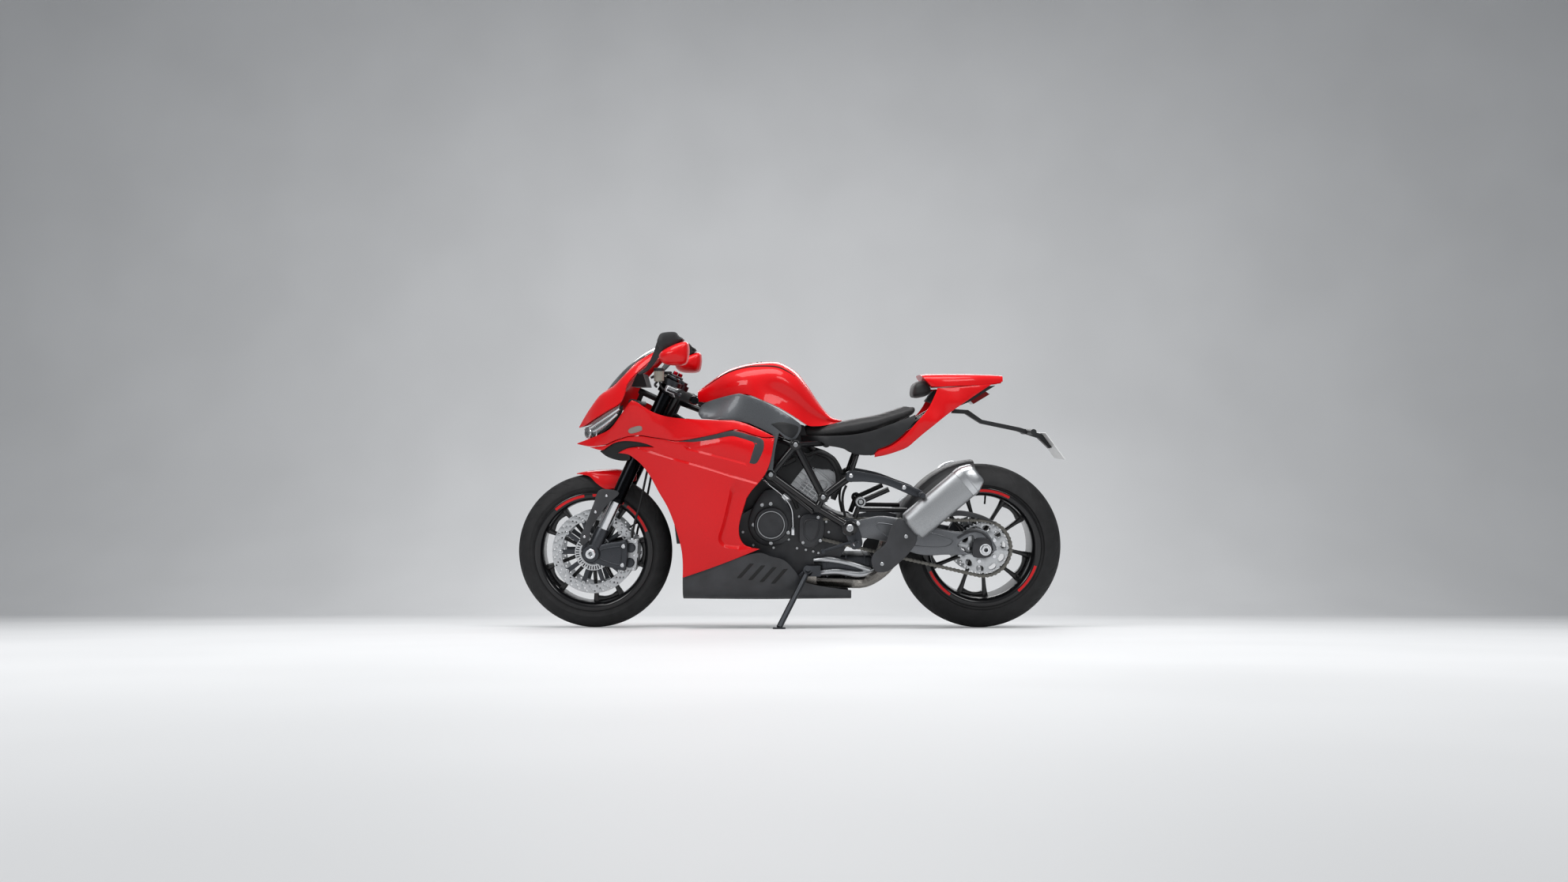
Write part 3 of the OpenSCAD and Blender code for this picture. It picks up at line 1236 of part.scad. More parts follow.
module mirror_stalks() {
    color("black") parked() both() pipe(places(stalk_shares), stalk_r, 20, 10);
}

front_tyre();
front_rim();
front_discs();
rear_tyre();
rear_rim();
rear_disc();
rear_sprocket();
front_calipers();
rear_caliper();
front_axle();
rear_axle();
fork_tubes();
fork_sliders();
fork_feet();
yokes();
handlebars();
grips();
levers();
brake_hoses();
front_fender();
fork_guards();
frame();
subframe();
crankcase();
cylinders();
engine_covers();
airbox();
sprocket_cover();
chain();
radiator();
exhaust_pipes();
silencers();
silencer_shields();
swingarm();
hugger();
side_stand();
stand_bracket();
footrests();
pillion_hangers();
tank();
tank_panels();
seat();
tail_hump();
tail_pad();
tail_sides();
side_covers();
side_panels();
shoulder_panels();
belly_pan();
upper_cowl();
windscreen();
headlights();
nose_grille();
fairing_stay();
dash();
tail_light();
undertail();
number_plate();
mirrors();
mirror_stalks();
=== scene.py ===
import json
import math

import bmesh
import bpy
import numpy as np
from mathutils import Matrix, Vector
from mathutils.geometry import delaunay_2d_cdt


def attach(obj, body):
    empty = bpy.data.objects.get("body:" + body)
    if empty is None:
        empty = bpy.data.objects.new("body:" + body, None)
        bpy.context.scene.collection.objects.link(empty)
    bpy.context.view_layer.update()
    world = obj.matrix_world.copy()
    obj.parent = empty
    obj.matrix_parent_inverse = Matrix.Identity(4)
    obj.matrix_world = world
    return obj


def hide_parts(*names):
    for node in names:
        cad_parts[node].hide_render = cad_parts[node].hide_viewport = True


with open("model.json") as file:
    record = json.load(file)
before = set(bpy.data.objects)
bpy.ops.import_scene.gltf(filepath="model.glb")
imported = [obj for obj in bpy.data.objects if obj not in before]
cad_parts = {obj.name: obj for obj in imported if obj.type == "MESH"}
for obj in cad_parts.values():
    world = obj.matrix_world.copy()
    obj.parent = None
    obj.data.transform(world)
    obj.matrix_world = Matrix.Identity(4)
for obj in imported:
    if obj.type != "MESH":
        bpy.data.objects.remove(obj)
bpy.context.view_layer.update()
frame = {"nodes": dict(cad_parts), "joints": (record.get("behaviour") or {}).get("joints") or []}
print("frame loaded")

# The upright motorcycle's own frame, in millimetres: x to the rear, y to the right, z up
mm = 0.001
joints = {joint["name"]: joint for joint in frame["joints"]}
rearAxle = Vector(joints["rear_wheel_spin"]["pos_m"])
frontAxle = Vector(joints["front_wheel_spin"]["pos_m"])
across = Vector(joints["rear_wheel_spin"]["axis"]).normalized()
along = Vector((1, 0, 0))
up = along.cross(across)
wheels = {"frontR": 300, "frontW": 120, "rearR": 320, "rearW": 190, "rake": 25, "forkOffset": 30,
          "forkSpread": 210}
wheelbase = (rearAxle - frontAxle).dot(along) / mm
bikeOrigin = rearAxle - along * wheelbase / 2 * mm - up * wheels["rearR"] * mm
bikeTurn = np.array([along, across, up]).T


def toWorld(points):
    return np.asarray(points, float) * mm @ bikeTurn.T + np.array(bikeOrigin)


def frameAt(origin, xAxis, yAxis, zAxis):
    matrix = np.eye(4)
    matrix[:3, 0], matrix[:3, 1], matrix[:3, 2], matrix[:3, 3] = xAxis, yAxis, zAxis, origin
    return matrix


def leftFace(spot):  # a frame on a face to the left, with its own z pointing out
    return frameAt(spot, (1, 0, 0), (0, 0, 1), (0, -1, 0))


def wheelFrame(x, r):  # local z along the axle to the left, local y up
    return leftFace((x, 0, r))


frontWheel = wheelFrame(-wheelbase / 2, wheels["frontR"])
rearWheel = wheelFrame(wheelbase / 2, wheels["rearR"])
rakeSin, rakeCos = math.sin(math.radians(wheels["rake"])), math.cos(math.radians(wheels["rake"]))
fork = frameAt((-wheelbase / 2, 0, wheels["frontR"]), (rakeCos, 0, -rakeSin), (0, 1, 0),
               (rakeSin, 0, rakeCos))
mirrorY = np.diag([1.0, -1.0, 1.0, 1.0])


# Shapes are pairs of points and faces, in millimetres
def joined(shapes):
    points, faces, base = [], [], 0
    for shapePoints, shapeFaces in shapes:
        points.append(np.asarray(shapePoints, float))
        faces += [[base + k for k in face] for face in shapeFaces]
        base += len(shapePoints)
    return np.vstack(points), faces


def placed(shape, matrix):
    points = np.asarray(shape[0], float) @ matrix[:3, :3].T + matrix[:3, 3]
    flipped = np.linalg.det(matrix[:3, :3]) < 0
    return points, [face[::-1] for face in shape[1]] if flipped else shape[1]


def bothSides(shape):
    return joined([shape, placed(shape, mirrorY)])


def smoothPath(points, count):
    p = np.asarray(points, float)
    steps = np.linspace(0, len(p) - 1, count)
    i = np.minimum(steps.astype(int), len(p) - 2)
    f = (steps - i)[:, None]
    a, b, c, d = p[np.maximum(i - 1, 0)], p[i], p[i + 1], p[np.minimum(i + 2, len(p) - 1)]
    return (2 * b + (c - a) * f + (2 * a - 5 * b + 4 * c - d) * f ** 2 + (3 * (b - c) + d - a) * f ** 3) / 2


def evenly(points, step):
    p = np.asarray(points, float)
    lengths = np.concatenate([[0], np.cumsum(np.linalg.norm(np.diff(p, axis=0), axis=1))])
    count = max(int(round(lengths[-1] / step)), 1)
    at = np.linspace(0, lengths[-1], count + 1)
    return np.stack([np.interp(at, lengths, p[:, k]) for k in range(p.shape[1])], 1)


def traced(segments, step=7):  # a closed outline of smooth stretches that meet at corners
    pieces = [evenly(smoothPath(s, 24 * len(s)) if len(s) > 2 else s, step)[:-1] for s in segments]
    return np.vstack(pieces)


def closedCurve(points, step=8):
    p = np.asarray(points, float)
    wrapped = np.vstack([p[-2:], p, p[:3]])
    n = 12 * (len(wrapped) - 1) + 1
    curve = smoothPath(wrapped, n)
    return evenly(curve[24:24 + 12 * len(p) + 1], step)[:-1]


def lathe(profile, sides=64, sweep=360.0, start=0.0):
    whole = sweep >= 360
    turns = sides if whole else sides + 1
    angles = np.radians(start + sweep * np.arange(turns) / sides)
    points = [(r * math.cos(a), r * math.sin(a), h) for a in angles for r, h in profile]
    n = len(profile)
    faces = []
    for k in range(sides):
        a, b = k * n, (k + 1) % turns * n
        faces += [[a + i, b + i, b + i + 1, a + i + 1] for i in range(n - 1)]
    return np.array(points), faces


# a lathe of a closed profile, with end caps on a part turn
def ring(profile, sides=64, sweep=360.0, start=0.0):
    points, faces = lathe(list(profile) + [profile[0]], sides, sweep, start)
    if sweep < 360:
        n = len(profile) + 1
        faces += [list(range(n - 1))[::-1], [sides * n + i for i in range(n - 1)]]
    return points, faces


def loft(rings, caps=True):
    m = len(rings[0])
    points = np.vstack(rings)
    faces = [[i * m + j, i * m + (j + 1) % m, (i + 1) * m + (j + 1) % m, (i + 1) * m + j]
             for i in range(len(rings) - 1) for j in range(m)]
    if caps:
        faces += [list(range(m))[::-1], [(len(rings) - 1) * m + j for j in range(m)]]
    return points, faces


def tube(path, radius, sides=10):
    p = np.asarray(path, float)
    radii = np.broadcast_to(radius, len(p))
    way = np.gradient(p, axis=0)
    way /= np.linalg.norm(way, axis=1)[:, None]
    side = np.cross(way[0], (0.31, 0.87, 0.38))
    rings = []
    for k in range(len(p)):
        side = side - way[k] * side.dot(way[k])
        side /= np.linalg.norm(side)
        other = np.cross(way[k], side)
        turns = np.linspace(0, 2 * math.pi, sides, endpoint=False)
        rings.append(p[k] + radii[k] * (np.outer(np.cos(turns), side) + np.outer(np.sin(turns), other)))
    return loft(rings)


def roundedBox(size, edge, segments=2):
    bm = bmesh.new()
    bmesh.ops.create_cube(bm, size=1)
    for v in bm.verts:
        v.co = Vector(v.co[k] * size[k] for k in range(3))
    bmesh.ops.bevel(bm, geom=bm.edges[:], offset=edge, segments=segments, profile=0.6, affect="EDGES")
    bm.verts.index_update()
    shape = np.array([v.co for v in bm.verts]), [[v.index for v in f.verts] for f in bm.faces]
    bm.free()
    return shape


def boltHead(r, h):  # a socket head with its hexagon sunk
    head = lathe([(r, 0), (r, h * 0.8), (r * 0.85, h), (r * 0.52, h)], 18)
    socket = lathe([(r * 0.52, h), (r * 0.5, h * 0.35), (0.01, h * 0.35)], 6)
    return joined([head, socket])


def shifted(shape, x, y, z):
    return np.asarray(shape[0], float) + (x, y, z), shape[1]


def inside(polygon, points):
    x, z = points[:, 0][:, None], points[:, 1][:, None]
    ax, az = polygon[:, 0], polygon[:, 1]
    bx, bz = np.roll(ax, -1), np.roll(az, -1)
    crossing = ((az > z) != (bz > z)) & (x < (bx - ax) * (z - az) / np.where(bz == az, 1e-9, bz - az) + ax)
    return crossing.sum(1) % 2 == 1


def inset(polygon, distance):  # moves a counter-clockwise outline inwards
    before, after = np.roll(polygon, 1, axis=0), np.roll(polygon, -1, axis=0)
    way = (after - polygon) / (np.linalg.norm(after - polygon, axis=1)[:, None] + 1e-9)
    back = (polygon - before) / (np.linalg.norm(polygon - before, axis=1)[:, None] + 1e-9)
    normal = np.stack([-(way + back)[:, 1], (way + back)[:, 0]], 1)
    normal /= np.linalg.norm(normal, axis=1)[:, None] + 1e-9
    return polygon + normal * distance


def counterClockwise(polygon):
    x, z = polygon[:, 0], polygon[:, 1]
    return polygon if (x * np.roll(z, -1) - np.roll(x, -1) * z).sum() > 0 else polygon[::-1]


def skinPanel(outline, depth, thickness=4, rounding=2, step=16, holes=(), lines=()):
    # A panel cut to its outlines in the side view, lifted onto a curved skin and given rounded edges.
    # The left side is made: the skin's depth is measured to the left of the middle.
    loops = [counterClockwise(np.asarray(outline))] + [counterClockwise(np.asarray(h))[::-1] for h in holes]
    tops = [inset(loop, rounding) for loop in loops]
    low, high = tops[0].min(0), tops[0].max(0)
    rows = np.arange(low[1] + step / 2, high[1], step * 0.866)
    grid = np.array([(x, z) for k, z in enumerate(rows)
                     for x in np.arange(low[0] + step / 2 * (k % 2), high[0], step)]).reshape(-1, 2)
    edges, verts = [], list(map(tuple, np.vstack(tops)))
    base = 0
    for top in tops:
        n = len(top)
        edges += [(base + k, base + (k + 1) % n) for k in range(n)]
        base += n
    fixed = [np.vstack(tops)]
    for line in lines:
        line = np.asarray(line)
        line = line[inside(tops[0], line)]
        edges += [(base + k, base + k + 1) for k in range(len(line) - 1)]
        verts += list(map(tuple, line))
        fixed.append(line)
        base += len(line)
    if len(grid):
        kept = inside(tops[0], grid)
        for top in tops[1:]:
            kept &= ~inside(top, grid)
        near = np.vstack(fixed)
        gap = np.array([np.min(np.hypot(*(near - g).T)) for g in grid])
        verts += list(map(tuple, grid[kept & (gap > step * 0.45)]))
    flat, _, tris, *_ = delaunay_2d_cdt([Vector(v) for v in verts], edges, [], 0, 1e-4)
    flat = np.array([tuple(v) for v in flat])
    middles = np.array([flat[list(t)].mean(0) for t in tris])
    good = inside(tops[0], middles)
    for top in tops[1:]:
        good &= ~inside(top, middles)
    tris = [list(t) for t, g in zip(tris, good) if g]

    def lifted(plan, drop):
        e = 0.5
        x, z = plan[:, 0], plan[:, 1]
        y = depth(x, z)
        slopeX = (depth(x + e, z) - depth(x - e, z)) / (2 * e)
        slopeZ = (depth(x, z + e) - depth(x, z - e)) / (2 * e)
        normal = np.stack([-slopeX, np.ones_like(y), -slopeZ], 1)
        normal /= np.linalg.norm(normal, axis=1)[:, None]
        at = np.stack([x, y, z], 1) - normal * drop
        return at * (1, -1, 1)

    count = len(flat)
    points = [lifted(flat, 0), lifted(flat, thickness)]
    a, b, c = (flat[[t[k] for t in tris]] for k in range(3))
    turn = (b - a)[:, 0] * (c - a)[:, 1] - (b - a)[:, 1] * (c - a)[:, 0]
    tris = [t if s > 0 else t[::-1] for t, s in zip(tris, turn)]
    faces = [t for t in tris] + [[count + k for k in t[::-1]] for t in tris]
    start, base = 0, 2 * count
    for loop in loops:  # the rounded edge, ring by ring
        n = len(loop)
        first = list(range(start, start + n))
        start += n
        rings = [first]
        for share, drop in ((0.3, 0.3 * rounding), (0, rounding), (0, thickness)):
            points.append(lifted(inset(loop, rounding * share), drop))
            rings.append(list(range(base, base + n)))
            base += n
        rings.append([count + k for k in first])
        for outer, inner in zip(rings[:-1], rings[1:]):
            faces += [[outer[k], inner[k], inner[(k + 1) % n], outer[(k + 1) % n]] for k in range(n)]
    return np.vstack(points), faces


# its face at a distance to the left
def flatPlate(outline, left, thickness, rounding=1.5, holes=(), step=400):
    return skinPanel(outline, lambda x, z: np.full(np.shape(x), float(left)), thickness, rounding, step,
                     holes)


def circleOutline(x, z, r, sides=24):
    turns = np.linspace(0, 2 * math.pi, sides, endpoint=False)
    return np.stack([x + r * np.cos(turns), z + r * np.sin(turns)], 1)


def fittedSkin(places):  # a smooth skin through places, each x, z and its distance from the middle
    p = np.asarray(places, float)
    unit = 300.0
    plan, y = p[:, :2] / unit, p[:, 2]

    def kernel(a, b):
        r2 = ((a[:, None, :] - b[None, :, :]) ** 2).sum(2)
        return r2 * np.log(r2 + 1e-12)
    n = len(p)
    flat = np.hstack([np.ones((n, 1)), plan])
    system = np.zeros((n + 3, n + 3))
    system[:n, :n] = kernel(plan, plan) + np.eye(n) * 2e-3
    system[:n, n:], system[n:, :n] = flat, flat.T
    weights = np.linalg.solve(system, np.concatenate([y, np.zeros(3)]))

    def depth(x, z):
        q = np.stack([np.ravel(x), np.ravel(z)], 1) / unit
        value = kernel(q, plan) @ weights[:n] + np.hstack([np.ones((len(q), 1)), q]) @ weights[n:]
        return value.reshape(np.shape(x))
    return depth


def gridPanel(grid, thickness, inwards):  # a shell over a grid of points, thickened inwards
    nu, nv = grid.shape[:2]
    outer = grid.reshape(-1, 3)
    normals = np.cross(np.gradient(grid, axis=0), np.gradient(grid, axis=1)).reshape(-1, 3)
    normals /= np.linalg.norm(normals, axis=1)[:, None] + 1e-9
    points = np.vstack([outer, outer + normals * thickness * inwards])
    n = nu * nv
    quad = [[i * nv + j, (i + 1) * nv + j, (i + 1) * nv + j + 1, i * nv + j + 1]
            for i in range(nu - 1) for j in range(nv - 1)]
    border = ([i * nv for i in range(nu)] + [(nu - 1) * nv + j for j in range(1, nv)]
              + [i * nv + nv - 1 for i in range(nu - 2, -1, -1)] + [j for j in range(nv - 2, 0, -1)])
    rim = [[a, n + a, n + b, b] for a, b in zip(border, border[1:] + border[:1])]
    faces = quad + [[n + k for k in f[::-1]] for f in quad] + rim
    return points, faces if inwards < 0 else [f[::-1] for f in faces]


def addPiece(name, shape, finishes, body, slot, replaces=(), smoothAngle=40, faceFinish=None):
    points, faces = shape
    mesh = bpy.data.meshes.new(name)
    mesh.from_pydata(toWorld(points).tolist(), [], [list(map(int, f)) for f in faces])
    for finish in finishes if isinstance(finishes, (list, tuple)) else [finishes]:
        mesh.materials.append(finish)
    if faceFinish is not None:
        mesh.polygons.foreach_set("material_index", np.asarray(faceFinish, int))
    bm = bmesh.new()
    bm.from_mesh(mesh)
    bmesh.ops.remove_doubles(bm, verts=bm.verts, dist=1e-6)
    bmesh.ops.recalc_face_normals(bm, faces=bm.faces)
    bm.to_mesh(mesh)
    bm.free()
    mesh.shade_smooth()
    mesh.set_sharp_from_angle(angle=math.radians(smoothAngle))
    piece = bpy.data.objects.new(name, mesh)
    bpy.context.scene.collection.objects.link(piece)
    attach(piece, body)
    if replaces:
        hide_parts(*replaces)
    return piece


def addSides(name, half, *rest):  # a piece with its mirror image on the other side
    return addPiece(name, bothSides(half), *rest)


# Finishes
def hexLinear(code):
    channels = [int(code[k:k + 2], 16) / 255 for k in (1, 3, 5)]
    return tuple(c / 12.92 if c <= 0.04045 else ((c + 0.055) / 1.055) ** 2.4 for c in channels) + (1.0,)


def addNode(tree, kind, settings=None, links=None):
    node = tree.nodes.new(kind)
    for key, value in (settings or {}).items():
        if isinstance(key, str) and hasattr(node, key):
            setattr(node, key, value)
        else:
            node.inputs[key].default_value = value
    for socket, source in (links or {}).items():
        tree.links.new(source, node.inputs[socket])
    return node


def perMm(size):  # the scale of a pattern whose marks are this many millimetres apart
    return 1 / (size * mm)


def newFinish(name, settings):
    material = bpy.data.materials.new(name)
    material.use_nodes = True
    tree = material.node_tree
    shader = tree.nodes["Principled BSDF"]
    for socket, value in settings.items():
        shader.inputs[socket].default_value = value
    where = addNode(tree, "ShaderNodeTexCoord").outputs["Object"]
    return material, tree, shader, where


def twoTone(tree, shader, factor, dark, light):  # colour that varies between two tones
    ramp = addNode(tree, "ShaderNodeValToRGB", links={"Fac": factor})
    ramp.color_ramp.elements[0].position, ramp.color_ramp.elements[1].position = 0.35, 0.65
    ramp.color_ramp.elements[0].color, ramp.color_ramp.elements[1].color = hexLinear(dark), hexLinear(light)
    tree.links.new(ramp.outputs["Color"], shader.inputs["Base Color"])


def roughBetween(tree, shader, factor, low, high):
    spread = addNode(tree, "ShaderNodeMapRange", {"To Min": low, "To Max": high}, {"Value": factor})
    tree.links.new(spread.outputs["Result"], shader.inputs["Roughness"])


def raised(tree, shader, height, depthMm, strength=1.0):
    bump = addNode(tree, "ShaderNodeBump", {"Strength": strength, "Distance": depthMm * mm},
                   {"Height": height})
    tree.links.new(bump.outputs["Normal"], shader.inputs["Normal"])


def paintFinish(name, dark, light, coat=1.0, roughness=0.42, metallic=0.0):
    # Sprayed lacquer under clear coat: deep colour, a sharp gloss and a faint orange peel
    material, tree, shader, where = newFinish(name, {
        "Roughness": roughness, "Metallic": metallic, "Specular IOR Level": 0.15, "Coat Weight": coat,
        "Coat Roughness": 0.04})
    flake = addNode(tree, "ShaderNodeTexNoise", {"Scale": perMm(1.2), "Detail": 2.0}, {"Vector": where})
    twoTone(tree, shader, flake.outputs["Fac"], dark, light)
    peel = addNode(tree, "ShaderNodeTexNoise", {"Scale": perMm(7), "Detail": 1.0}, {"Vector": where})
    raised(tree, shader, peel.outputs["Fac"], 0.03, 0.25)
    return material


def mouldedFinish(name, dark, light, grainMm, roughness):
    # Injection-moulded plastic: an even satin with a fine spark-eroded grain
    material, tree, shader, where = newFinish(name, {"Specular IOR Level": 0.4})
    grain = addNode(tree, "ShaderNodeTexNoise", {"Scale": perMm(grainMm), "Detail": 3.0}, {"Vector": where})
    cloud = addNode(tree, "ShaderNodeTexNoise", {"Scale": perMm(60), "Detail": 2.0}, {"Vector": where})
    twoTone(tree, shader, cloud.outputs["Fac"], dark, light)
    roughBetween(tree, shader, grain.outputs["Fac"], roughness - 0.07, roughness + 0.07)
    raised(tree, shader, grain.outputs["Fac"], 0.12, 0.5)
    return material


def metalFinish(name, dark, light, roughness, grainMm=0.0, brushed=None, coat=0.0):
    # Bare or anodised metal: cast grain, or marks drawn out along the way it was brushed
    material, tree, shader, where = newFinish(name, {"Metallic": 1.0, "Coat Weight": coat})
    if brushed:
        where = addNode(tree, "ShaderNodeMapping", {"Scale": brushed}, {"Vector": where}).outputs["Vector"]
    marks = addNode(tree, "ShaderNodeTexNoise", {"Scale": perMm(grainMm or 2), "Detail": 4.0},
                    {"Vector": where})
    twoTone(tree, shader, marks.outputs["Fac"], dark, light)
    roughBetween(tree, shader, marks.outputs["Fac"], roughness - 0.06, roughness + 0.06)
    raised(tree, shader, marks.outputs["Fac"], 0.1 if grainMm else 0.03, 0.5 if grainMm else 0.25)
    return material


def rubberFinish(name, dark, light, roughness):
    # Vulcanised rubber: nearly black, dull, with a bloom of paler dust
    material, tree, shader, where = newFinish(name, {"Specular IOR Level": 0.35})
    dust = addNode(tree, "ShaderNodeTexNoise", {"Scale": perMm(35), "Detail": 5.0}, {"Vector": where})
    pores = addNode(tree, "ShaderNodeTexNoise", {"Scale": perMm(1.5), "Detail": 2.0}, {"Vector": where})
    twoTone(tree, shader, dust.outputs["Fac"], dark, light)
    roughBetween(tree, shader, pores.outputs["Fac"], roughness - 0.08, roughness + 0.08)
    raised(tree, shader, pores.outputs["Fac"], 0.1, 0.4)
    return material


def vinylFinish(name, dark, light):
    # Embossed seat vinyl: pebbled grain about 2 mm across, with a soft sheen
    material, tree, shader, where = newFinish(name, {"Roughness": 0.62, "Sheen Weight": 0.15,
                                                     "Sheen Roughness": 0.4})
    pebble = addNode(tree, "ShaderNodeTexVoronoi", {"Scale": perMm(2.2), "feature": "F1"}, {"Vector": where})
    cloud = addNode(tree, "ShaderNodeTexNoise", {"Scale": perMm(40), "Detail": 3.0}, {"Vector": where})
    twoTone(tree, shader, cloud.outputs["Fac"], dark, light)
    raised(tree, shader, pebble.outputs["Distance"], 0.25, 0.6)
    return material


def clearFinish(name, colour, roughness, transmission, alpha=1.0):
    # Moulded polycarbonate or acrylic: clear or tinted, with a hard polish
    material, tree, shader, where = newFinish(name, {
        "Base Color": hexLinear(colour), "Transmission Weight": transmission, "IOR": 1.49, "Alpha": alpha})
    haze = addNode(tree, "ShaderNodeTexNoise", {"Scale": perMm(45), "Detail": 2.0}, {"Vector": where})
    roughBetween(tree, shader, haze.outputs["Fac"], roughness, roughness + 0.04)
    return material


redPaint = paintFinish("redLacquerClearCoat", "#c40007", "#d60009", 0.42)
greyPaint = paintFinish("satinGreyMetallicLacquer", "#4f5154", "#5d6063", 0.25, 0.38, 0.55)
blackEnamel = paintFinish("glossBlackPowderCoat", "#08080a", "#101012", 0.6, 0.3)
blackPlastic = mouldedFinish("mouldedBlackAbs", "#161719", "#1e1f21", 0.9, 0.5)
charcoalPlastic = mouldedFinish("mouldedCharcoalAbs", "#2b2c2e", "#343538", 0.9, 0.48)
darkMetal = metalFinish("darkAnodisedAluminium", "#3d3f42", "#4a4c50", 0.4, 1.4)
armAluminium = metalFinish("satinGreyCastArm", "#66686b", "#76787b", 0.42, 1.4)
forkBlack = metalFinish("hardAnodisedBlackTube", "#101113", "#17181a", 0.26, 0.0, (1, 1, 0.05))
chromedSteel = metalFinish("hardChromedSteel", "#c9cbce", "#d9dbdd", 0.14)
discSteel = metalFinish("groundStainlessDisc", "#a9abad", "#c0c2c4", 0.3, 0.0, (1, 1, 1))
castAluminium = metalFinish("sandCastAluminium", "#b2b4b6", "#c8cacc", 0.52, 1.8)
blackCasting = mouldedFinish("blackCrinkleCasting", "#232427", "#303134", 1.6, 0.36)
# Near-black painted shade: laid over openings, ducts, vents and recesses that would be dark only from shade
paintedShadeBlack = mouldedFinish("shadowedVentBlack", "#060606", "#0b0b0c", 0.9, 0.6)
silencerSteel = metalFinish("brushedStainlessSleeve", "#96989a", "#a8aaac", 0.46, 0.0, (1, 0.05, 1))
endCapSteel = metalFinish("satinNickelEndCap", "#b9bbbd", "#c9cbcd", 0.3)
pipeSteel = metalFinish("heatTintedSteelPipe", "#8a8681", "#a19d97", 0.28)
chainSteel = metalFinish("oiledChainSteel", "#5c5b58", "#77756f", 0.4, 1.2)
tyreRubber = rubberFinish("vulcanisedTyreRubber", "#141415", "#1d1d1e", 0.72)
gripRubber = rubberFinish("softGripRubber", "#151516", "#1b1b1c", 0.8)
hoseRubber = rubberFinish("braidedHoseSleeve", "#0f0f10", "#19191a", 0.5)
seatVinyl = vinylFinish("embossedBlackVinyl", "#131314", "#1a1a1b")
screenTint = clearFinish("smokedAcrylic", "#1b1d20", 0.03, 0.45, 0.88)
lampGlass = clearFinish("clearPolycarbonate", "#e8ebee", 0.02, 0.0, 0.08)
lampBar = metalFinish("metallisedReflector", "#cfd2d5", "#e3e6e8", 0.2)
tailLens = clearFinish("redPolycarbonate", "#7a0508", 0.06, 0.35)
amberLens = clearFinish("smokedIndicatorLens", "#a8a49c", 0.08, 0.5)
plateWhite = paintFinish("whiteEnamelPlate", "#d6d7d6", "#dededd", 0.4)
redTape = paintFinish("redRimTape", "#b8050d", "#c60a12", 0.3)
reservoirPlastic = clearFinish("frostedReservoirPlastic", "#a9a69a", 0.3, 0.35)
redAnodised = metalFinish("redAnodisedAluminium", "#7d0b18", "#93101f", 0.3)

nodeFinish = {
    redPaint: ["tank", "tail_hump", "tail_sides", "side_panels", "shoulder_panels", "upper_cowl", "mirrors",
               "front_fender"],
    greyPaint: ["tank_panels"],
    blackEnamel: ["front_rim", "rear_rim", "frame", "subframe"],
    blackPlastic: ["nose_grille", "fairing_stay", "dash", "undertail", "hugger", "side_covers", "radiator",
                   "mirror_stalks", "airbox"],
    hoseRubber: ["brake_hoses"],
    charcoalPlastic: ["belly_pan", "silencer_shields"],
    darkMetal: ["front_calipers", "rear_caliper", "fork_feet", "fork_guards", "swingarm", "side_stand",
                "stand_bracket", "footrests", "pillion_hangers", "yokes"],
    forkBlack: ["fork_tubes", "handlebars", "levers"],
    chromedSteel: ["fork_sliders", "front_axle", "rear_axle"],
    discSteel: ["front_discs", "rear_disc", "rear_sprocket"],
    castAluminium: ["cylinders"],
    blackCasting: ["crankcase", "engine_covers", "sprocket_cover"],
    silencerSteel: ["silencers"],
    pipeSteel: ["exhaust_pipes"],
    chainSteel: ["chain"],
    tyreRubber: ["front_tyre", "rear_tyre"],
    gripRubber: ["grips"],
    seatVinyl: ["seat", "tail_pad"],
    screenTint: ["windscreen"],
    lampGlass: ["headlights"],
    tailLens: ["tail_light"],
    plateWhite: ["number_plate"],
}
for finish, names in nodeFinish.items():
    for name in names:
        mesh = frame["nodes"][name].data
        mesh.materials.clear()
        mesh.materials.append(finish)
print("finishes set on", len(frame["nodes"]), "nodes")


# Camera, floor and lights
view = {"at": (-12, -4800, 800), "frameWidth": 6150, "sensor": 36.0, "shiftY": -0.0116}


def setCamera():
    data = bpy.data.cameras.new("camera")
    data.sensor_width = view["sensor"]
    data.lens = view["sensor"] * -view["at"][1] / view["frameWidth"]
    data.shift_y = view["shiftY"]
    camera = bpy.data.objects.new("camera", data)
    turn = Matrix((along, up, -across)).transposed().to_4x4()
    camera.matrix_world = Matrix.Translation(Vector(toWorld([view["at"]])[0])) @ turn
    bpy.context.scene.collection.objects.link(camera)
    bpy.context.scene.camera = camera


stage = {"reach": 14.0, "wallAt": 4.5, "wallHigh": 6.0, "bend": 1.6, "colour": "#d9dadb"}


def setStage():
    # One sheet: a flat floor that bends up into the wall behind
    profile = [(-stage["reach"], 0.0), (stage["wallAt"] - stage["bend"], 0.0)]
    for k in range(1, 13):
        a = math.radians(90 * k / 12)
        profile.append((stage["wallAt"] - stage["bend"] + stage["bend"] * math.sin(a),
                        stage["bend"] * (1 - math.cos(a))))
    profile.append((stage["wallAt"], stage["wallHigh"]))
    points = [(side * stage["reach"], y, z) for y, z in profile for side in (-1, 1)]
    faces = [(2 * k, 2 * k + 1, 2 * k + 3, 2 * k + 2) for k in range(len(profile) - 1)]
    mesh = bpy.data.meshes.new("floor")
    mesh.from_pydata(points, [], faces)
    mesh.shade_smooth()
    material, tree, shader, where = newFinish("paintedFloor", {"Roughness": 0.6})
    cloud = addNode(tree, "ShaderNodeTexNoise", {"Scale": perMm(900), "Detail": 2.0}, {"Vector": where})
    twoTone(tree, shader, cloud.outputs["Fac"], "#d4d5d6", stage["colour"])
    mesh.materials.append(material)
    floor = bpy.data.objects.new("floor", mesh)
    bpy.context.scene.collection.objects.link(floor)


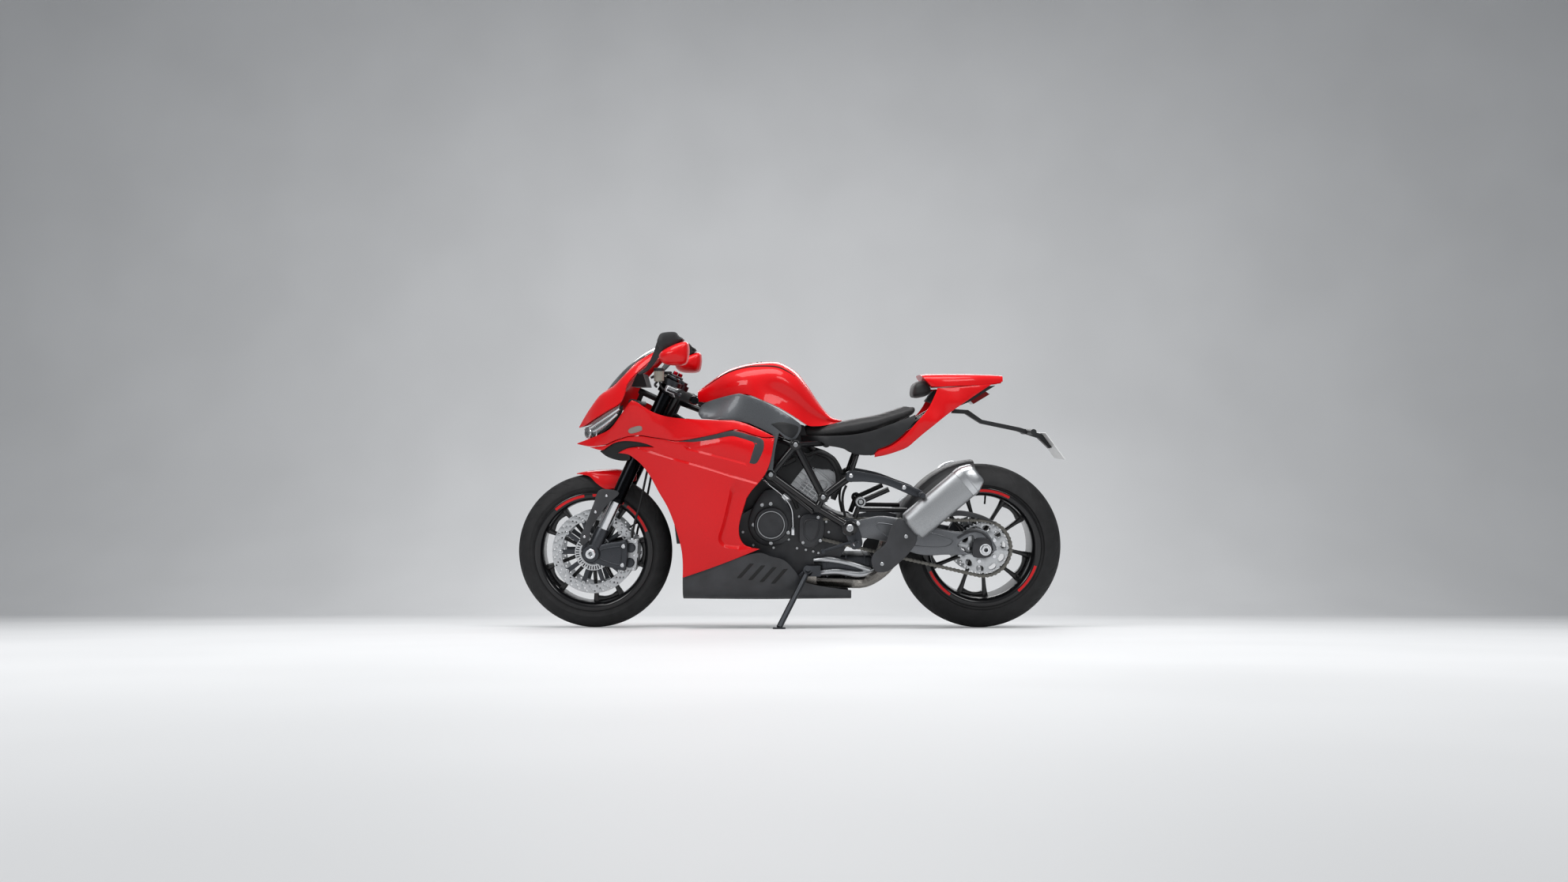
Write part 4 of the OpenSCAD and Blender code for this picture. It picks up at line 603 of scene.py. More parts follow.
lamps = {
    "overhead": {"at": (0, -1.1, 4.0), "to": (0, -0.2, 0.5), "size": (4.5, 2.2), "power": 170},
    "frontLeft": {"at": (-3.2, -4.0, 2.6), "to": (-0.2, 0, 0.6), "size": (2.2, 1.6), "power": 85},
    "backRight": {"at": (2.8, -3.6, 2.8), "to": (0.3, 0, 0.6), "size": (2.2, 1.4), "power": 60},
    "rim": {"at": (0, 3.6, 3.0), "to": (0, 0, 0.8), "size": (4.0, 0.8), "power": 60},
}


def setLights():
    for name, lamp in lamps.items():
        data = bpy.data.lights.new(name, "AREA")
        data.shape = "RECTANGLE"
        data.size, data.size_y = lamp["size"]
        data.energy = lamp["power"]
        light = bpy.data.objects.new(name, data)
        light.location = lamp["at"]
        light.rotation_euler = (Vector(lamp["to"]) - Vector(lamp["at"])).to_track_quat("-Z", "Y").to_euler()
        bpy.context.scene.collection.objects.link(light)
    world = bpy.data.worlds.new("studio")
    world.use_nodes = True
    world.node_tree.nodes["Background"].inputs["Color"].default_value = hexLinear("#c9ccd0")
    world.node_tree.nodes["Background"].inputs["Strength"].default_value = 0.45
    bpy.context.scene.world = world
    bpy.context.scene.view_settings.view_transform = "Standard"


setCamera()
setStage()
setLights()
print("camera, floor and lights set")

# Side fairing: one skin carries the red panels and the trim that lies on them
fairing = {
    "thickness": 4, "rounding": 2.6, "step": 15,
    # places on the skin: x, z and distance from the middle
    "skin": [
        (-823, 718, 5), (-772, 704, 60), (-714, 694, 98), (-661, 722, 132), (-600, 738, 163),
        (-548, 748, 190),
        (-725, 754, 97), (-675, 776, 138), (-632, 827, 176), (-600, 869, 203), (-582, 887, 210),
        (-547, 869, 217),
        (-504, 843, 222), (-416, 820, 226), (-283, 812, 228), (-169, 803, 228), (-112, 782, 232),
        (-45, 748, 238),
        (-480, 790, 229), (-398, 731, 238), (-283, 752, 250), (-202, 771, 251), (-95, 745, 247),
        (-626, 687, 138),
        (-588, 669, 153), (-522, 602, 172), (-486, 539, 183), (-451, 479, 188), (-421, 402, 189),
        (-394, 309, 180),
        (-397, 212, 165), (-250, 268, 196), (-104, 326, 215), (-181, 404, 233), (-166, 474, 240),
        (-151, 525, 245),
        (-98, 587, 250), (-60, 666, 250), (-300, 620, 246), (-300, 450, 232), (-300, 330, 213),
        (-430, 650, 222)],
    "shoulder": [
        [(-823, 720), (-778, 735), (-725, 754), (-675, 778), (-632, 827), (-600, 869), (-584, 885)],
        [(-584, 885), (-562, 876), (-540, 861), (-500, 839), (-445, 823), (-370, 815), (-283, 812),
         (-200, 810)],
        [(-200, 810), (-160, 800), (-112, 780), (-70, 760), (-46, 748)],
        [(-46, 748), (-95, 748), (-169, 771), (-202, 775), (-283, 755), (-400, 734), (-470, 741),
         (-548, 752)],
        [(-548, 752), (-600, 749), (-650, 735), (-700, 716), (-760, 708), (-823, 716)],
        [(-823, 716), (-823, 720)]],
    "side": [
        [(-397, 212), (-250, 266), (-104, 326)],
        [(-104, 326), (-135, 332), (-164, 343), (-178, 370), (-181, 404), (-175, 440), (-166, 474),
         (-153, 518)],
        [(-153, 518), (-134, 545), (-98, 587), (-76, 621), (-62, 660), (-53, 705), (-47, 744)],
        [(-47, 744), (-95, 745), (-169, 768), (-202, 772), (-283, 752), (-400, 731), (-470, 738),
         (-548, 749)],
        [(-548, 749), (-600, 746), (-650, 732), (-700, 713), (-765, 705)],
        [(-765, 705), (-714, 694), (-690, 706), (-661, 722), (-620, 730), (-575, 728), (-530, 719),
         (-501, 707)],
        [(-501, 707), (-547, 708), (-600, 704), (-632, 692), (-646, 684)],
        [(-646, 684), (-610, 680), (-588, 669), (-554, 642), (-522, 602), (-486, 539), (-451, 479),
         (-421, 402),
         (-402, 330), (-396, 270), (-397, 212)]],
    "stripe": [
        [(-405, 730), (-345, 742), (-291, 756), (-213, 771), (-178, 767), (-140, 756), (-100, 744)],
        [(-100, 744), (-89, 736), (-86, 724), (-88, 700), (-104, 664), (-114, 650), (-124, 646)],
        [(-124, 646), (-141, 650)],
        [(-141, 650), (-131, 685), (-122, 715), (-124, 725), (-134, 730)],
        [(-134, 730), (-180, 745), (-213, 750), (-291, 736), (-350, 728), (-405, 730)]],
    "duct": [
        [(-722, 690), (-690, 712), (-655, 730), (-600, 736), (-540, 728), (-490, 709)],
        [(-490, 709), (-500, 698), (-547, 699), (-600, 696), (-600, 660), (-640, 655), (-690, 668),
         (-722, 690)]],
    "indicator": [
        [(-602, 766), (-596, 778), (-560, 788), (-546, 784)],
        [(-546, 784), (-545, 774), (-552, 768), (-590, 758), (-602, 766)]],
    # lines where the panel steps: the points, how far the upper or rear side sinks, and how fast that fades
    "creases": [
        {"line": [(-560, 702), (-430, 666), (-298, 630), (-195, 598), (-108, 573)], "sinks": 9.0, "fade": 70},
        {"line": [(-374, 703), (-260, 675), (-158, 648)], "sinks": 7.0, "fade": 45},
        {"line": [(-368, 706), (-290, 728), (-213, 746), (-165, 738), (-124, 725)], "sinks": 6.0,
         "fade": 34}],
    "recess": {"line": [(-200, 600), (-206, 555), (-222, 480), (-240, 410), (-252, 372), (-246, 348),
                        (-222, 336),
                        (-180, 333)], "sinks": 15.0, "top": 600, "blend": 70},
}
sideSkin = fittedSkin(fairing["skin"])


# signed distance from a line, to its left, and how far past its ends a place lies
def besideLine(line, x, z):
    p = evenly(smoothPath(line, 40), 12)
    q = np.stack([np.ravel(x), np.ravel(z)], 1)
    a, b = p[:-1], p[1:]
    d = b - a
    t = ((q[:, None, :] - a) * d).sum(2) / (d ** 2).sum(1)
    near = a + np.clip(t, 0, 1)[:, :, None] * d
    far = np.linalg.norm(q[:, None, :] - near, axis=2)
    k = far.argmin(1)
    rows = np.arange(len(q))
    turn = d[k, 0] * (q[:, 1] - a[k, 1]) - d[k, 1] * (q[:, 0] - a[k, 0])
    past = np.maximum(np.maximum(-t[rows, 0], t[rows, -1] - 1), 0) * 12
    return (np.sign(turn) * far[rows, k]).reshape(np.shape(x)), past.reshape(np.shape(x))


def eased(t):
    t = np.clip(t, 0, 1)
    return t * t * (3 - 2 * t)


def panelSkin(x, z):  # the fairing's skin with its creases and its recess
    y = sideSkin(x, z)
    for crease in fairing["creases"]:
        side, past = besideLine(crease["line"], x, z)
        y = y - crease["sinks"] * eased(side / 8 + 0.5) * np.exp(-np.maximum(side, 0) / crease["fade"]) \
            * np.exp(-(past / 14) ** 2)
    recess = fairing["recess"]
    side, past = besideLine(recess["line"], x, z)
    return y - recess["sinks"] * eased(side / 12 + 0.5) * eased((recess["top"] - z) / recess["blend"]) \
        * np.exp(-(past / 25) ** 2)


def besideLines():  # pairs of lines that keep each step of the panel crisp
    lines = []
    for feature, width in [(c, 8) for c in fairing["creases"]] + [(fairing["recess"], 12)]:
        middle = evenly(smoothPath(feature["line"], 60), 8)
        way = np.gradient(middle, axis=0)
        way /= np.linalg.norm(way, axis=1)[:, None]
        normal = np.stack([-way[:, 1], way[:, 0]], 1)
        lines += [middle + normal * width / 2, middle - normal * width / 2]
    return lines


def fairingPiece(name, outline, finish, slot, replaces=(), proud=0.0, thickness=None, lines=(), step=None):
    depth = (lambda x, z: panelSkin(x, z) + proud) if proud or lines else sideSkin
    shape = skinPanel(traced(outline), depth, thickness or fairing["thickness"],
                      min(fairing["rounding"], (thickness or 4) * 0.7), step or fairing["step"], (), lines)
    return addSides(name, shape, finish, "root", slot, replaces)


fairingPiece("shoulderPanels", fairing["shoulder"], redPaint, "red_paint", ["shoulder_panels"])
fairingPiece("sidePanels", fairing["side"], redPaint, "red_paint", ["side_panels"], lines=besideLines())
fairingPiece("fairingStripes", fairing["stripe"], charcoalPlastic, "black_plastic", proud=1.2, thickness=3)
# The duct's opening is not cut: a near-black sheet sunk 9 mm into it is painted shade
fairingPiece("ductShadeInserts", fairing["duct"], paintedShadeBlack, "black_plastic", proud=-9.0, thickness=3)
fairingPiece("frontIndicators", fairing["indicator"], amberLens, "lamp_lens", proud=4.0, thickness=6, step=8)
print("side fairing made")


# Nose: each half of the upper cowl lies between its lower edge, a middle line and its upper edge
cowl = {
    "thickness": 4, "along": 46, "over": 16,
    "low": [(-815, 781, -3), (-780, 793, -58), (-749, 810, -110), (-683, 845, -180), (-630, 872, -222),
            (-610, 905, -228), (-600, 945, -220), (-566, 988, -204), (-505, 1047, -170)],
    "middle": [(-815, 783, -2), (-790, 818, -34), (-764, 851, -66), (-718, 900, -112), (-676, 922, -150),
               (-646, 940, -176), (-618, 972, -184), (-570, 1014, -180), (-506, 1058, -163)],
    "high": [(-815, 785, 0), (-797, 812, 0), (-775, 843, 0), (-738, 895, 0), (-705, 929, 0),
             (-668, 944, -86), (-632, 972, -130), (-574, 1030, -138), (-507, 1068, -151)],
}


def acrossLines(lines, steps, over):  # a grid through lines that run the same way, each point x, z and y
    rows = [smoothPath(line, steps)[:, [0, 2, 1]] for line in lines]
    return np.stack([smoothPath([row[k] for row in rows], over) for k in range(steps)])


def upperCowl():
    grid = acrossLines([cowl["low"], cowl["middle"], cowl["high"]], cowl["along"], cowl["over"])
    half = gridPanel(grid, cowl["thickness"], -1)
    addSides("upperCowl", half, redPaint, "root", "red_paint", ["upper_cowl"], 50)


screen = {
    "thickness": 3.5,
    "low": [(-703, 933, 0), (-667, 948, -84), (-630, 976, -126), (-572, 1034, -134), (-505, 1072, -147)],
    "middle": [(-700, 936, 0), (-672, 962, -50), (-624, 1008, -80), (-560, 1060, -86), (-500, 1093, -92)],
    "high": [(-700, 937, 0), (-668, 968, 0), (-613, 1026, 0), (-552, 1078, 0), (-494, 1110, 0)],
}


def windscreen():
    grid = acrossLines([screen["low"], screen["middle"], screen["high"]], 28, 14)
    half = gridPanel(grid, screen["thickness"], -1)
    addSides("windscreen", half, screenTint, "root", "screen_tint", ["windscreen"], 60)


upperCowl()
windscreen()
print("nose made")


# Headlights: a dark recess between cowl and beak, with two light bars and a lens, under a clear cover
headlight = {
    "low": [(-786, 736, -34), (-762, 747, -62), (-722, 764, -104), (-675, 798, -146), (-636, 840, -178)],
    "high": [(-800, 782, -30), (-776, 789, -60), (-744, 805, -106), (-680, 839, -176), (-628, 866, -212)],
    "coverThickness": 2, "recess": 16, "lensR": 19,
    "bars": [{"from": 0.30, "to": 0.96, "at": 0.76, "r": 6.2},
             {"from": 0.33, "to": 0.9, "at": 0.34, "r": 5.8}],
    "lenses": [(0.14, 0.5), (0.34, 0.22)],
}


def headlightPieces():
    low, high = (smoothPath(headlight[key], 40)[:, [0, 2, 1]] for key in ("low", "high"))
    rows = np.linspace(0, 1, 10)
    cover = np.stack([low + (high - low) * v for v in rows], 1)
    inward = np.array([0.72, 0.62, -0.05])
    half = gridPanel(cover, headlight["coverThickness"], -1)
    addSides("headlightCovers", half, lampGlass, "root", "lamp_lens", ["headlights"], 60)
    # Behind the bars: a near-black sheet, the housing's own black darkened further as painted shade of the
    # recess
    addSides("headlightRecesses", gridPanel(cover + inward * headlight["recess"], 3, -1), paintedShadeBlack,
             "root", "black_plastic", (), 60)

    def within(u, v, deep):
        at = cover[int(u * 39)]
        return at[0] + (at[-1] - at[0]) * v + inward * deep
    bars = []
    for bar in headlight["bars"]:
        route = [within(u, bar["at"], headlight["recess"] * 0.55) for u in np.linspace(bar["from"], bar["to"],
                                                                                       16)]
        bars.append(tube(route, bar["r"], 12))
    addSides("headlightBars", joined(bars), lampBar, "root", "lamp_lens")
    r = headlight["lensR"]
    dome = lathe([(r * math.cos(a), r * 0.6 * math.sin(a)) for a in np.linspace(0, math.pi / 2 - 0.02, 8)],
                 28)
    bezel = ring([(r, -3), (r + 3.5, -3), (r + 3.5, 3), (r + 1, 5), (r, 3)], 32)
    outward = -inward / np.linalg.norm(inward)
    side = np.cross((0, 0, 1), outward)
    side /= np.linalg.norm(side)
    lenses, bezels = [], []
    for u, v in headlight["lenses"]:
        at = frameAt(within(u, v, headlight["recess"] * 0.8), side, np.cross(outward, side), outward)
        lenses.append(placed(dome, at))
        bezels.append(placed(bezel, at))
    addSides("headlightLenses", joined(lenses), blackEnamel, "root", "gloss_black")
    addSides("headlightBezels", joined(bezels), chromedSteel, "root", "bright_steel")


headlightPieces()


# Bodies of revolution along the motorcycle: sections with their place, top, bottom, half width and lean
def backRings(sections, count, power, n, flat=True):
    rings = []
    for x, top, bottom, half, lean in smoothPath(sections, count):
        turns = np.linspace(0, math.pi, n + 1) if flat else np.linspace(0, 2 * math.pi, n, endpoint=False)
        rise = np.sign(np.sin(turns)) * np.abs(np.sin(turns)) ** power
        rise = rise if flat else (1 + rise) / 2
        y = half * np.sign(np.cos(turns)) * np.abs(np.cos(turns)) ** power
        rings.append(np.stack([x - lean * rise, y, bottom + (top - bottom) * rise], 1))
    return rings


tank = {
    "sections": [
        (-345, 925, 882, 85, 0), (-300, 958, 880, 125, 0), (-235, 1003, 892, 160, 0),
        (-160, 1027, 908, 185, 0),
        (-95, 1036, 886, 196, 0), (-39, 1036, 862, 196, 0), (0, 1021, 840, 186, 0), (40, 994, 815, 166, 0),
        (79, 946, 790, 138, 0), (113, 894, 787, 113, 0), (144, 852, 790, 92, 0), (174, 822, 796, 74, 0),
        (212, 810, 803, 52, 0)],
    "power": 0.66, "pinch": 0.16, "seamAt": 31, "capR": 46, "capAt": (-150, 0, 1022),
}


def fuelTank():
    rings = backRings(tank["sections"], 56, tank["power"], 44)
    for points in rings:  # the knees' hollow, towards the rear and low on the sides
        x, low, high = points[0, 0], points[:, 2].min(), points[:, 2].max()
        level = (points[:, 2] - low) / max(high - low, 1)
        inset = tank["pinch"] * eased((x + 140) / 130) * np.exp(-((level - 0.28) / 0.3) ** 2)
        points[:, 1] *= 1 - inset
    addPiece("fuelTank", loft(rings), redPaint, "root", "red_paint", ["tank"], 50)
    # where the top strip meets the sides: a near-black tube along the join, painted shade of the groove there
    seamShade = [points[tank["seamAt"]] for points in rings if -325 < points[0, 0] < 34]
    seamShade = tube(seamShade, np.interp(np.linspace(0, 1, len(seamShade)), [0, 0.25, 0.75, 1], [1.2, 3.6, 3.6, 1.2]), 10)
    addSides("tankSeamShade", seamShade, paintedShadeBlack, "root", "black_plastic")
    r = tank["capR"]
    cap = lathe([(r + 9, -6), (r + 9, 2), (r + 5, 4.5), (r + 1, 4), (r, 2.5), (r - 1, 4), (r - 10, 6),
                 (0.01, 6.5)], 64)
    bolts = [shifted(boltHead(3.2, 3.5), (r + 5) * math.cos(a), (r + 5) * math.sin(a), 3)
             for a in np.arange(8) * math.pi / 4]
    flap = placed(roundedBox((20, 46, 4), 1.8), frameAt((6, 0, 7.5), (1, 0, 0), (0, 1, 0), (0, 0, 1)))
    tilt = math.radians(-13)
    seat = frameAt(tank["capAt"], (math.cos(tilt), 0, -math.sin(tilt)), (0, 1, 0),
                   (math.sin(tilt), 0, math.cos(tilt)))
    addPiece("fuelCap", placed(joined([cap, flap] + bolts), seat), darkMetal, "root", "dark_metal")


fuelTank()


# Grey covers between the tank and the fairing, with a dark scoop and a leg down to the frame
airPanel = {
    "skin": [(-326, 866, 135), (-309, 878, 140), (-180, 909, 192), (-104, 885, 200), (-50, 860, 200),
             (12, 824, 190),
             (50, 798, 172), (-324, 822, 182), (-280, 815, 200), (-170, 806, 212), (-112, 786, 214),
             (-50, 755, 214),
             (0, 740, 205), (-60, 640, 226), (-40, 630, 222), (35, 745, 178)],
    "outline": [
        [(-331, 862), (-309, 879), (-250, 897), (-195, 909), (-170, 909), (-104, 886), (-50, 861), (12, 824),
         (48, 798)],
        [(48, 798), (55, 785), (50, 765), (36, 742), (22, 733)],
        [(22, 733), (0, 738), (-30, 762)],
        [(-30, 762), (-44, 700), (-53, 622)],
        [(-53, 622), (-72, 624)],
        [(-72, 624), (-62, 690), (-52, 748), (-75, 766), (-112, 784), (-165, 803), (-283, 815), (-324, 818)],
        [(-324, 818), (-338, 838), (-331, 862)]],
    "scoop": [[(-62, 796), (-20, 803), (30, 792), (44, 783)],
              [(44, 783), (40, 764), (28, 748), (18, 742)],
              [(18, 742), (-5, 752), (-38, 778), (-62, 796)]],
}


def airPanels():
    depth = fittedSkin(airPanel["skin"])
    half = skinPanel(traced(airPanel["outline"]), depth, 4, 2.4, 14)
    addSides("tankCovers", half, greyPaint, "root", "grey_paint", ["tank_panels"])
    # The scoop is not hollowed: a black patch 1.2 mm proud of the cover, partly the scoop's own black
    # plastic, partly painted shade of its opening
    scoop = skinPanel(traced(airPanel["scoop"], 5), lambda x, z: depth(x, z) + 1.2, 3, 1.0, 10)
    addSides("tankCoverScoops", scoop, blackPlastic, "root", "black_plastic")


airPanels()
print("tank made")


# Front fender: a pointed shell over the tyre, with its skirts inside the fork legs
fender = {
    "crown": [(-824, 602), (-800, 608), (-770, 613), (-737, 616), (-700, 618), (-665, 618), (-630, 611),
              (-595, 600)],
    "edge": [(-824, 599), (-800, 598), (-766, 592), (-736, 566), (-702, 545), (-664, 548), (-630, 559),
             (-600, 570)],
    "half": [3, 30, 55, 70, 74, 74, 72.5, 69.6], "thickness": 3.5, "power": 0.62,
}


def frontFender():
    crown, edge = smoothPath(fender["crown"], 44), smoothPath(fender["edge"], 44)
    half = smoothPath(np.array(fender["half"], float)[:, None], 44)[:, 0]
    turns = np.linspace(0, math.pi, 29)
    rise = np.sin(turns) ** fender["power"]
    y = np.sign(np.cos(turns)) * np.abs(np.cos(turns)) ** fender["power"]
    grid = np.stack([np.stack([edge[k, 0] + (crown[k, 0] - edge[k, 0]) * rise, -half[k] * y,
                               edge[k, 1] + (crown[k, 1] - edge[k, 1]) * rise], 1) for k in range(44)])
    addPiece("frontFender", gridPanel(grid, fender["thickness"], -1), redPaint, "steering", "red_paint",
             ["front_fender"], 50)


frontFender()


# Seat sections and its covers: the cushion is swollen from a tight shape
seat = {
    "sections": [
        (50, 788, 734, 62, 0), (92, 785.5, 738, 88, 0), (115, 783, 741, 100, 0), (145, 785.5, 744, 112, 0),
        (174, 791, 747, 120, 0), (205, 799, 750, 126, 0), (272, 812, 757, 133, 0), (351, 826, 778, 129, 0),
        (424, 848, 806, 118, 0), (478, 866, 832, 104, 0), (496, 868, 846, 92, 0)],
    "power": 0.5, "shrink": 0.965, "voxel": 6.0, "pressure": 4.0, "steps": 20, "cap": 6.0, "fill": 0.85,
}
tailPad = {
    "sections": [(486, 925, 899, 62, 0), (500, 952, 897, 84, 8), (524, 962, 900, 90, 14),
                 (548, 966, 908, 86, 18),
                 (562, 964, 920, 78, 24)],
    "power": 0.55, "shrink": 0.95, "voxel": 5.0, "pressure": 4.0, "steps": 20, "cap": 5.0, "fill": 0.9,
}


def swollen(piece, settings):  # the cover blown tight from inside, each point held to a short way
    start = [Vector(v.co) for v in piece.data.vertices]
    cloth = piece.modifiers.new("cover", "CLOTH")
    cloth.settings.use_pressure = True
    cloth.settings.uniform_pressure_force = settings["pressure"]
    cloth.settings.effector_weights.gravity = 0
    cloth.settings.tension_stiffness = 18
    scene = bpy.context.scene
    for step in range(1, settings["steps"] + 1):
        scene.frame_set(step)
    shaped = piece.evaluated_get(bpy.context.evaluated_depsgraph_get())
    moved = [Vector(v.co) for v in shaped.data.vertices]
    piece.modifiers.remove(cloth)
    for vertex, a, b in zip(piece.data.vertices, start, moved):
        way = b - a
        vertex.co = a + way * min(1.0, settings["cap"] * mm / max(way.length, 1e-9))
    scene.frame_set(1)


def cushion(name, settings, replaces):
    rings = backRings(settings["sections"], 40, settings["power"], 40, False)
    rings = [(r - r.mean(0)) * settings["shrink"] + r.mean(0) for r in rings]
    piece = addPiece(name, loft(rings), seatVinyl, "root", "seat_cover", replaces, 60)
    remesh = piece.modifiers.new("weave", "REMESH")
    remesh.mode, remesh.voxel_size = "VOXEL", settings["voxel"] * mm
    shaped = piece.evaluated_get(bpy.context.evaluated_depsgraph_get())
    mesh = bpy.data.meshes.new_from_object(shaped)
    piece.modifiers.clear()
    piece.data = mesh
    swollen(piece, settings)
    mesh.shade_smooth()
    piece.modifiers.new("smooth", "SUBSURF").render_levels = 1
    return piece


cushion("seatCushion", seat, ["seat"])
cushion("tailPadCushion", tailPad, ["tail_pad"])


tail = {
    "skin": [(335, 669, 118), (375, 677, 122), (458, 707, 130), (533, 768, 128), (615, 834, 118),
             (708, 890, 95),
             (787, 935, 65), (838, 962, 36), (345, 692, 122), (398, 713, 130), (447, 750, 135),
             (495, 804, 133),
             (539, 858, 128), (567, 905, 122), (630, 937, 112), (750, 945, 80), (836, 955, 40),
             (560, 800, 136),
             (650, 880, 118)],
    "outline": [
        [(334, 668), (375, 676), (420, 690), (460, 707), (497, 738), (533, 768), (617, 834), (708, 895),
         (787, 945),
         (836, 968)],
        [(836, 968), (830, 956)],
        [(830, 956), (750, 947), (640, 938), (576, 934)],
        [(576, 934), (566, 908), (540, 857), (496, 804), (448, 750), (400, 713), (351, 694), (336, 684)],
        [(336, 684), (334, 668)]],
    "hump": [(552, 986, 940, 116, 40), (580, 989, 938, 120, 32), (640, 990, 941, 113, 16),
             (720, 989, 945, 90, 4),
             (790, 987, 951, 62, 0), (838, 984, 960, 44, 0)],
    "power": 0.5,
}


def tailPieces():
    half = skinPanel(traced(tail["outline"]), fittedSkin(tail["skin"]), 4, 2.4, 14)
    addSides("tailSides", half, redPaint, "root", "red_paint", ["tail_sides"])
    addPiece("tailHump", loft(backRings(tail["hump"], 36, tail["power"], 36)), redPaint, "root", "red_paint",
             ["tail_hump"], 50)


tailPieces()


# Black covers under the seat
underSeat = {
    "skin": [(52, 742, 73), (100, 741, 103), (135, 741, 120), (152, 712, 124), (193, 706, 126),
             (254, 681, 128),
             (329, 676, 122), (52, 752, 75), (145, 750, 122), (218, 752, 129), (272, 758, 132),
             (375, 787, 126),
             (492, 832, 112), (346, 699, 124), (394, 718, 126), (442, 755, 127), (490, 808, 120)],
    "outline": [
        [(52, 752), (145, 750), (218, 752), (272, 758), (330, 771), (375, 787), (430, 807), (492, 832)],
        [(492, 832), (490, 808)],
        [(490, 808), (442, 755), (394, 718), (346, 699)],
        [(346, 699), (329, 676)],
        [(329, 676), (290, 676), (254, 681), (225, 697), (193, 706), (152, 712)],
        [(152, 712), (132, 726)],
        [(132, 726), (100, 726), (52, 728)],
        [(52, 728), (52, 752)]],
}


def seatCovers():
    half = skinPanel(traced(underSeat["outline"]), fittedSkin(underSeat["skin"]), 4, 2, 16)
    addSides("seatCovers", half, blackPlastic, "root", "black_plastic", ["side_covers"])


seatCovers()
print("seat and tail made")


# Belly pan with slanted vents, drawn as near-black patches of painted shade, not cut through
belly = {
    "edge": [(-397, -152, 214), (-330, -170, 238), (-250, -188, 266), (-180, -202, 294), (-107, -210, 312),
             (-60, -206, 298), (-10, -198, 282), (30, -180, 240), (60, -160, 200), (130, -142, 178),
             (245, -125, 160)],
    "floor": 122, "power": 0.46, "thickness": 4,
    "vents": {"count": 4, "corners": [(-141, 272), (-124, 272), (-174, 216), (-191, 216)],
              "step": (42.75, -7)},
}


def bellyPan():
    edges = smoothPath(belly["edge"], 60)
    turns = np.linspace(0, math.pi, 41)
    rise = np.sin(turns) ** belly["power"]
    y = np.sign(np.cos(turns)) * np.abs(np.cos(turns)) ** belly["power"]
    grid = np.stack([np.stack([np.full(41, e[0]), e[1] * y, e[2] + (belly["floor"] - e[2]) * rise],
                              1) for e in edges])
    addPiece("bellyPan", gridPanel(grid, belly["thickness"], 1), charcoalPlastic, "root", "black_plastic",
             ["belly_pan"], 50)

    def side(x, z):  # distance of the pan's side from the middle
        half = -np.interp(x, edges[:, 0], edges[:, 1])
        top = np.interp(x, edges[:, 0], edges[:, 2])
        level = np.clip((top - z) / (top - belly["floor"]), 0.0, 1.0) ** (1 / belly["power"])
        return half * np.clip(1 - level ** 2, 0, 1) ** (belly["power"] / 2)
    # each vent is a near-black patch 0.8 mm proud of the pan: painted shade of an opening
    vents = []
    vent = belly["vents"]
    for k in range(vent["count"]):
        corners = np.array(vent["corners"] + vent["corners"][:1], float) + np.array(vent["step"]) * k
        vents.append(skinPanel(evenly(corners, 6)[:-1], lambda x, z: side(x, z) + 0.8, 2, 0.8, 12))
    addSides("bellyVentShades", joined(vents), paintedShadeBlack, "root", "black_plastic")


bellyPan()
print("belly made")


# Mirrors: a shell with a flat back, on a flat black blade that folds over its top
mirror = {
    "middle": (-412, -340, 1052), "half": 68,
    "section": [(50, 36), (52, 8), (46, -28), (32, -41), (0, -43), (-34, -38), (-53, -22), (-55, -4),
                (-40, 12),
                (-6, 30), (24, 41), (42, 42)],
    "stalk": [(-556, -204, 984), (-527, -214, 1000), (-505, -234, 1025), (-486, -258, 1053),
              (-470, -284, 1084),
              (-456, -306, 1108), (-436, -322, 1112), (-414, -334, 1096)],
    "cap": [(-474, 1092), (-470, 1112), (-460, 1126), (-436, 1131), (-407, 1130), (-396, 1117), (-378, 1104),
            (-398, 1088),
            (-430, 1070), (-458, 1062)],
    "wide": [10, 14, 20, 26, 30, 34, 30, 20], "thick": [10, 9, 8, 8, 9, 11, 13, 12],
}


def blade(path, wide, thick, flat, count=36):  # a flat bar along a path, with rounded edges
    p = smoothPath(path, count)
    steps = np.linspace(0, 1, count)
    turns = np.linspace(0, 2 * math.pi, 16, endpoint=False)
    c, s = np.cos(turns), np.sin(turns)
    c, s = np.sign(c) * np.abs(c) ** 0.5, np.sign(s) * np.abs(s) ** 0.5
    way = np.gradient(p, axis=0)
    rings = []
    for k in range(count):
        w = way[k] / np.linalg.norm(way[k])
        side = np.cross(w, flat)
        side /= np.linalg.norm(side)
        out = np.cross(side, w)
        a, b = (np.interp(steps[k], np.linspace(0, 1, len(v)), v) / 2 for v in (wide, thick))
        rings.append(p[k] + np.outer(c * a, side) + np.outer(s * b, out))
    return loft(rings)


def mirrorPieces():
    outline = np.array(mirror["section"], float)
    outline = smoothPath(np.vstack([outline, outline[:1]]), 73)[:-1]
    rings = []
    for v in np.linspace(-1, 1, 27):
        size = max(1 - abs(v) ** 3.2, 0.02) ** 0.42
        shapeX, shapeZ = outline[:, 0] * size + 8 * abs(v), outline[:, 1] * size
        rings.append(np.stack([mirror["middle"][0] + shapeX,
                               np.full(len(outline), mirror["middle"][1] - v * mirror["half"]),
                               mirror["middle"][2] + shapeZ], 1))
    addSides("mirrorShells", loft(rings), redPaint, "root", "red_paint", ["mirrors"], 45)
    stalk = blade(mirror["stalk"], mirror["wide"], mirror["thick"], (0.2, -0.9, 0.3))
    cap = flatPlate(closedCurve(mirror["cap"], 6), 354, 64, 12, (), 14)
    addSides("mirrorStalks", joined([stalk, cap]), blackPlastic, "root", "black_plastic", ["mirror_stalks"])


mirrorPieces()
print("mirrors made")


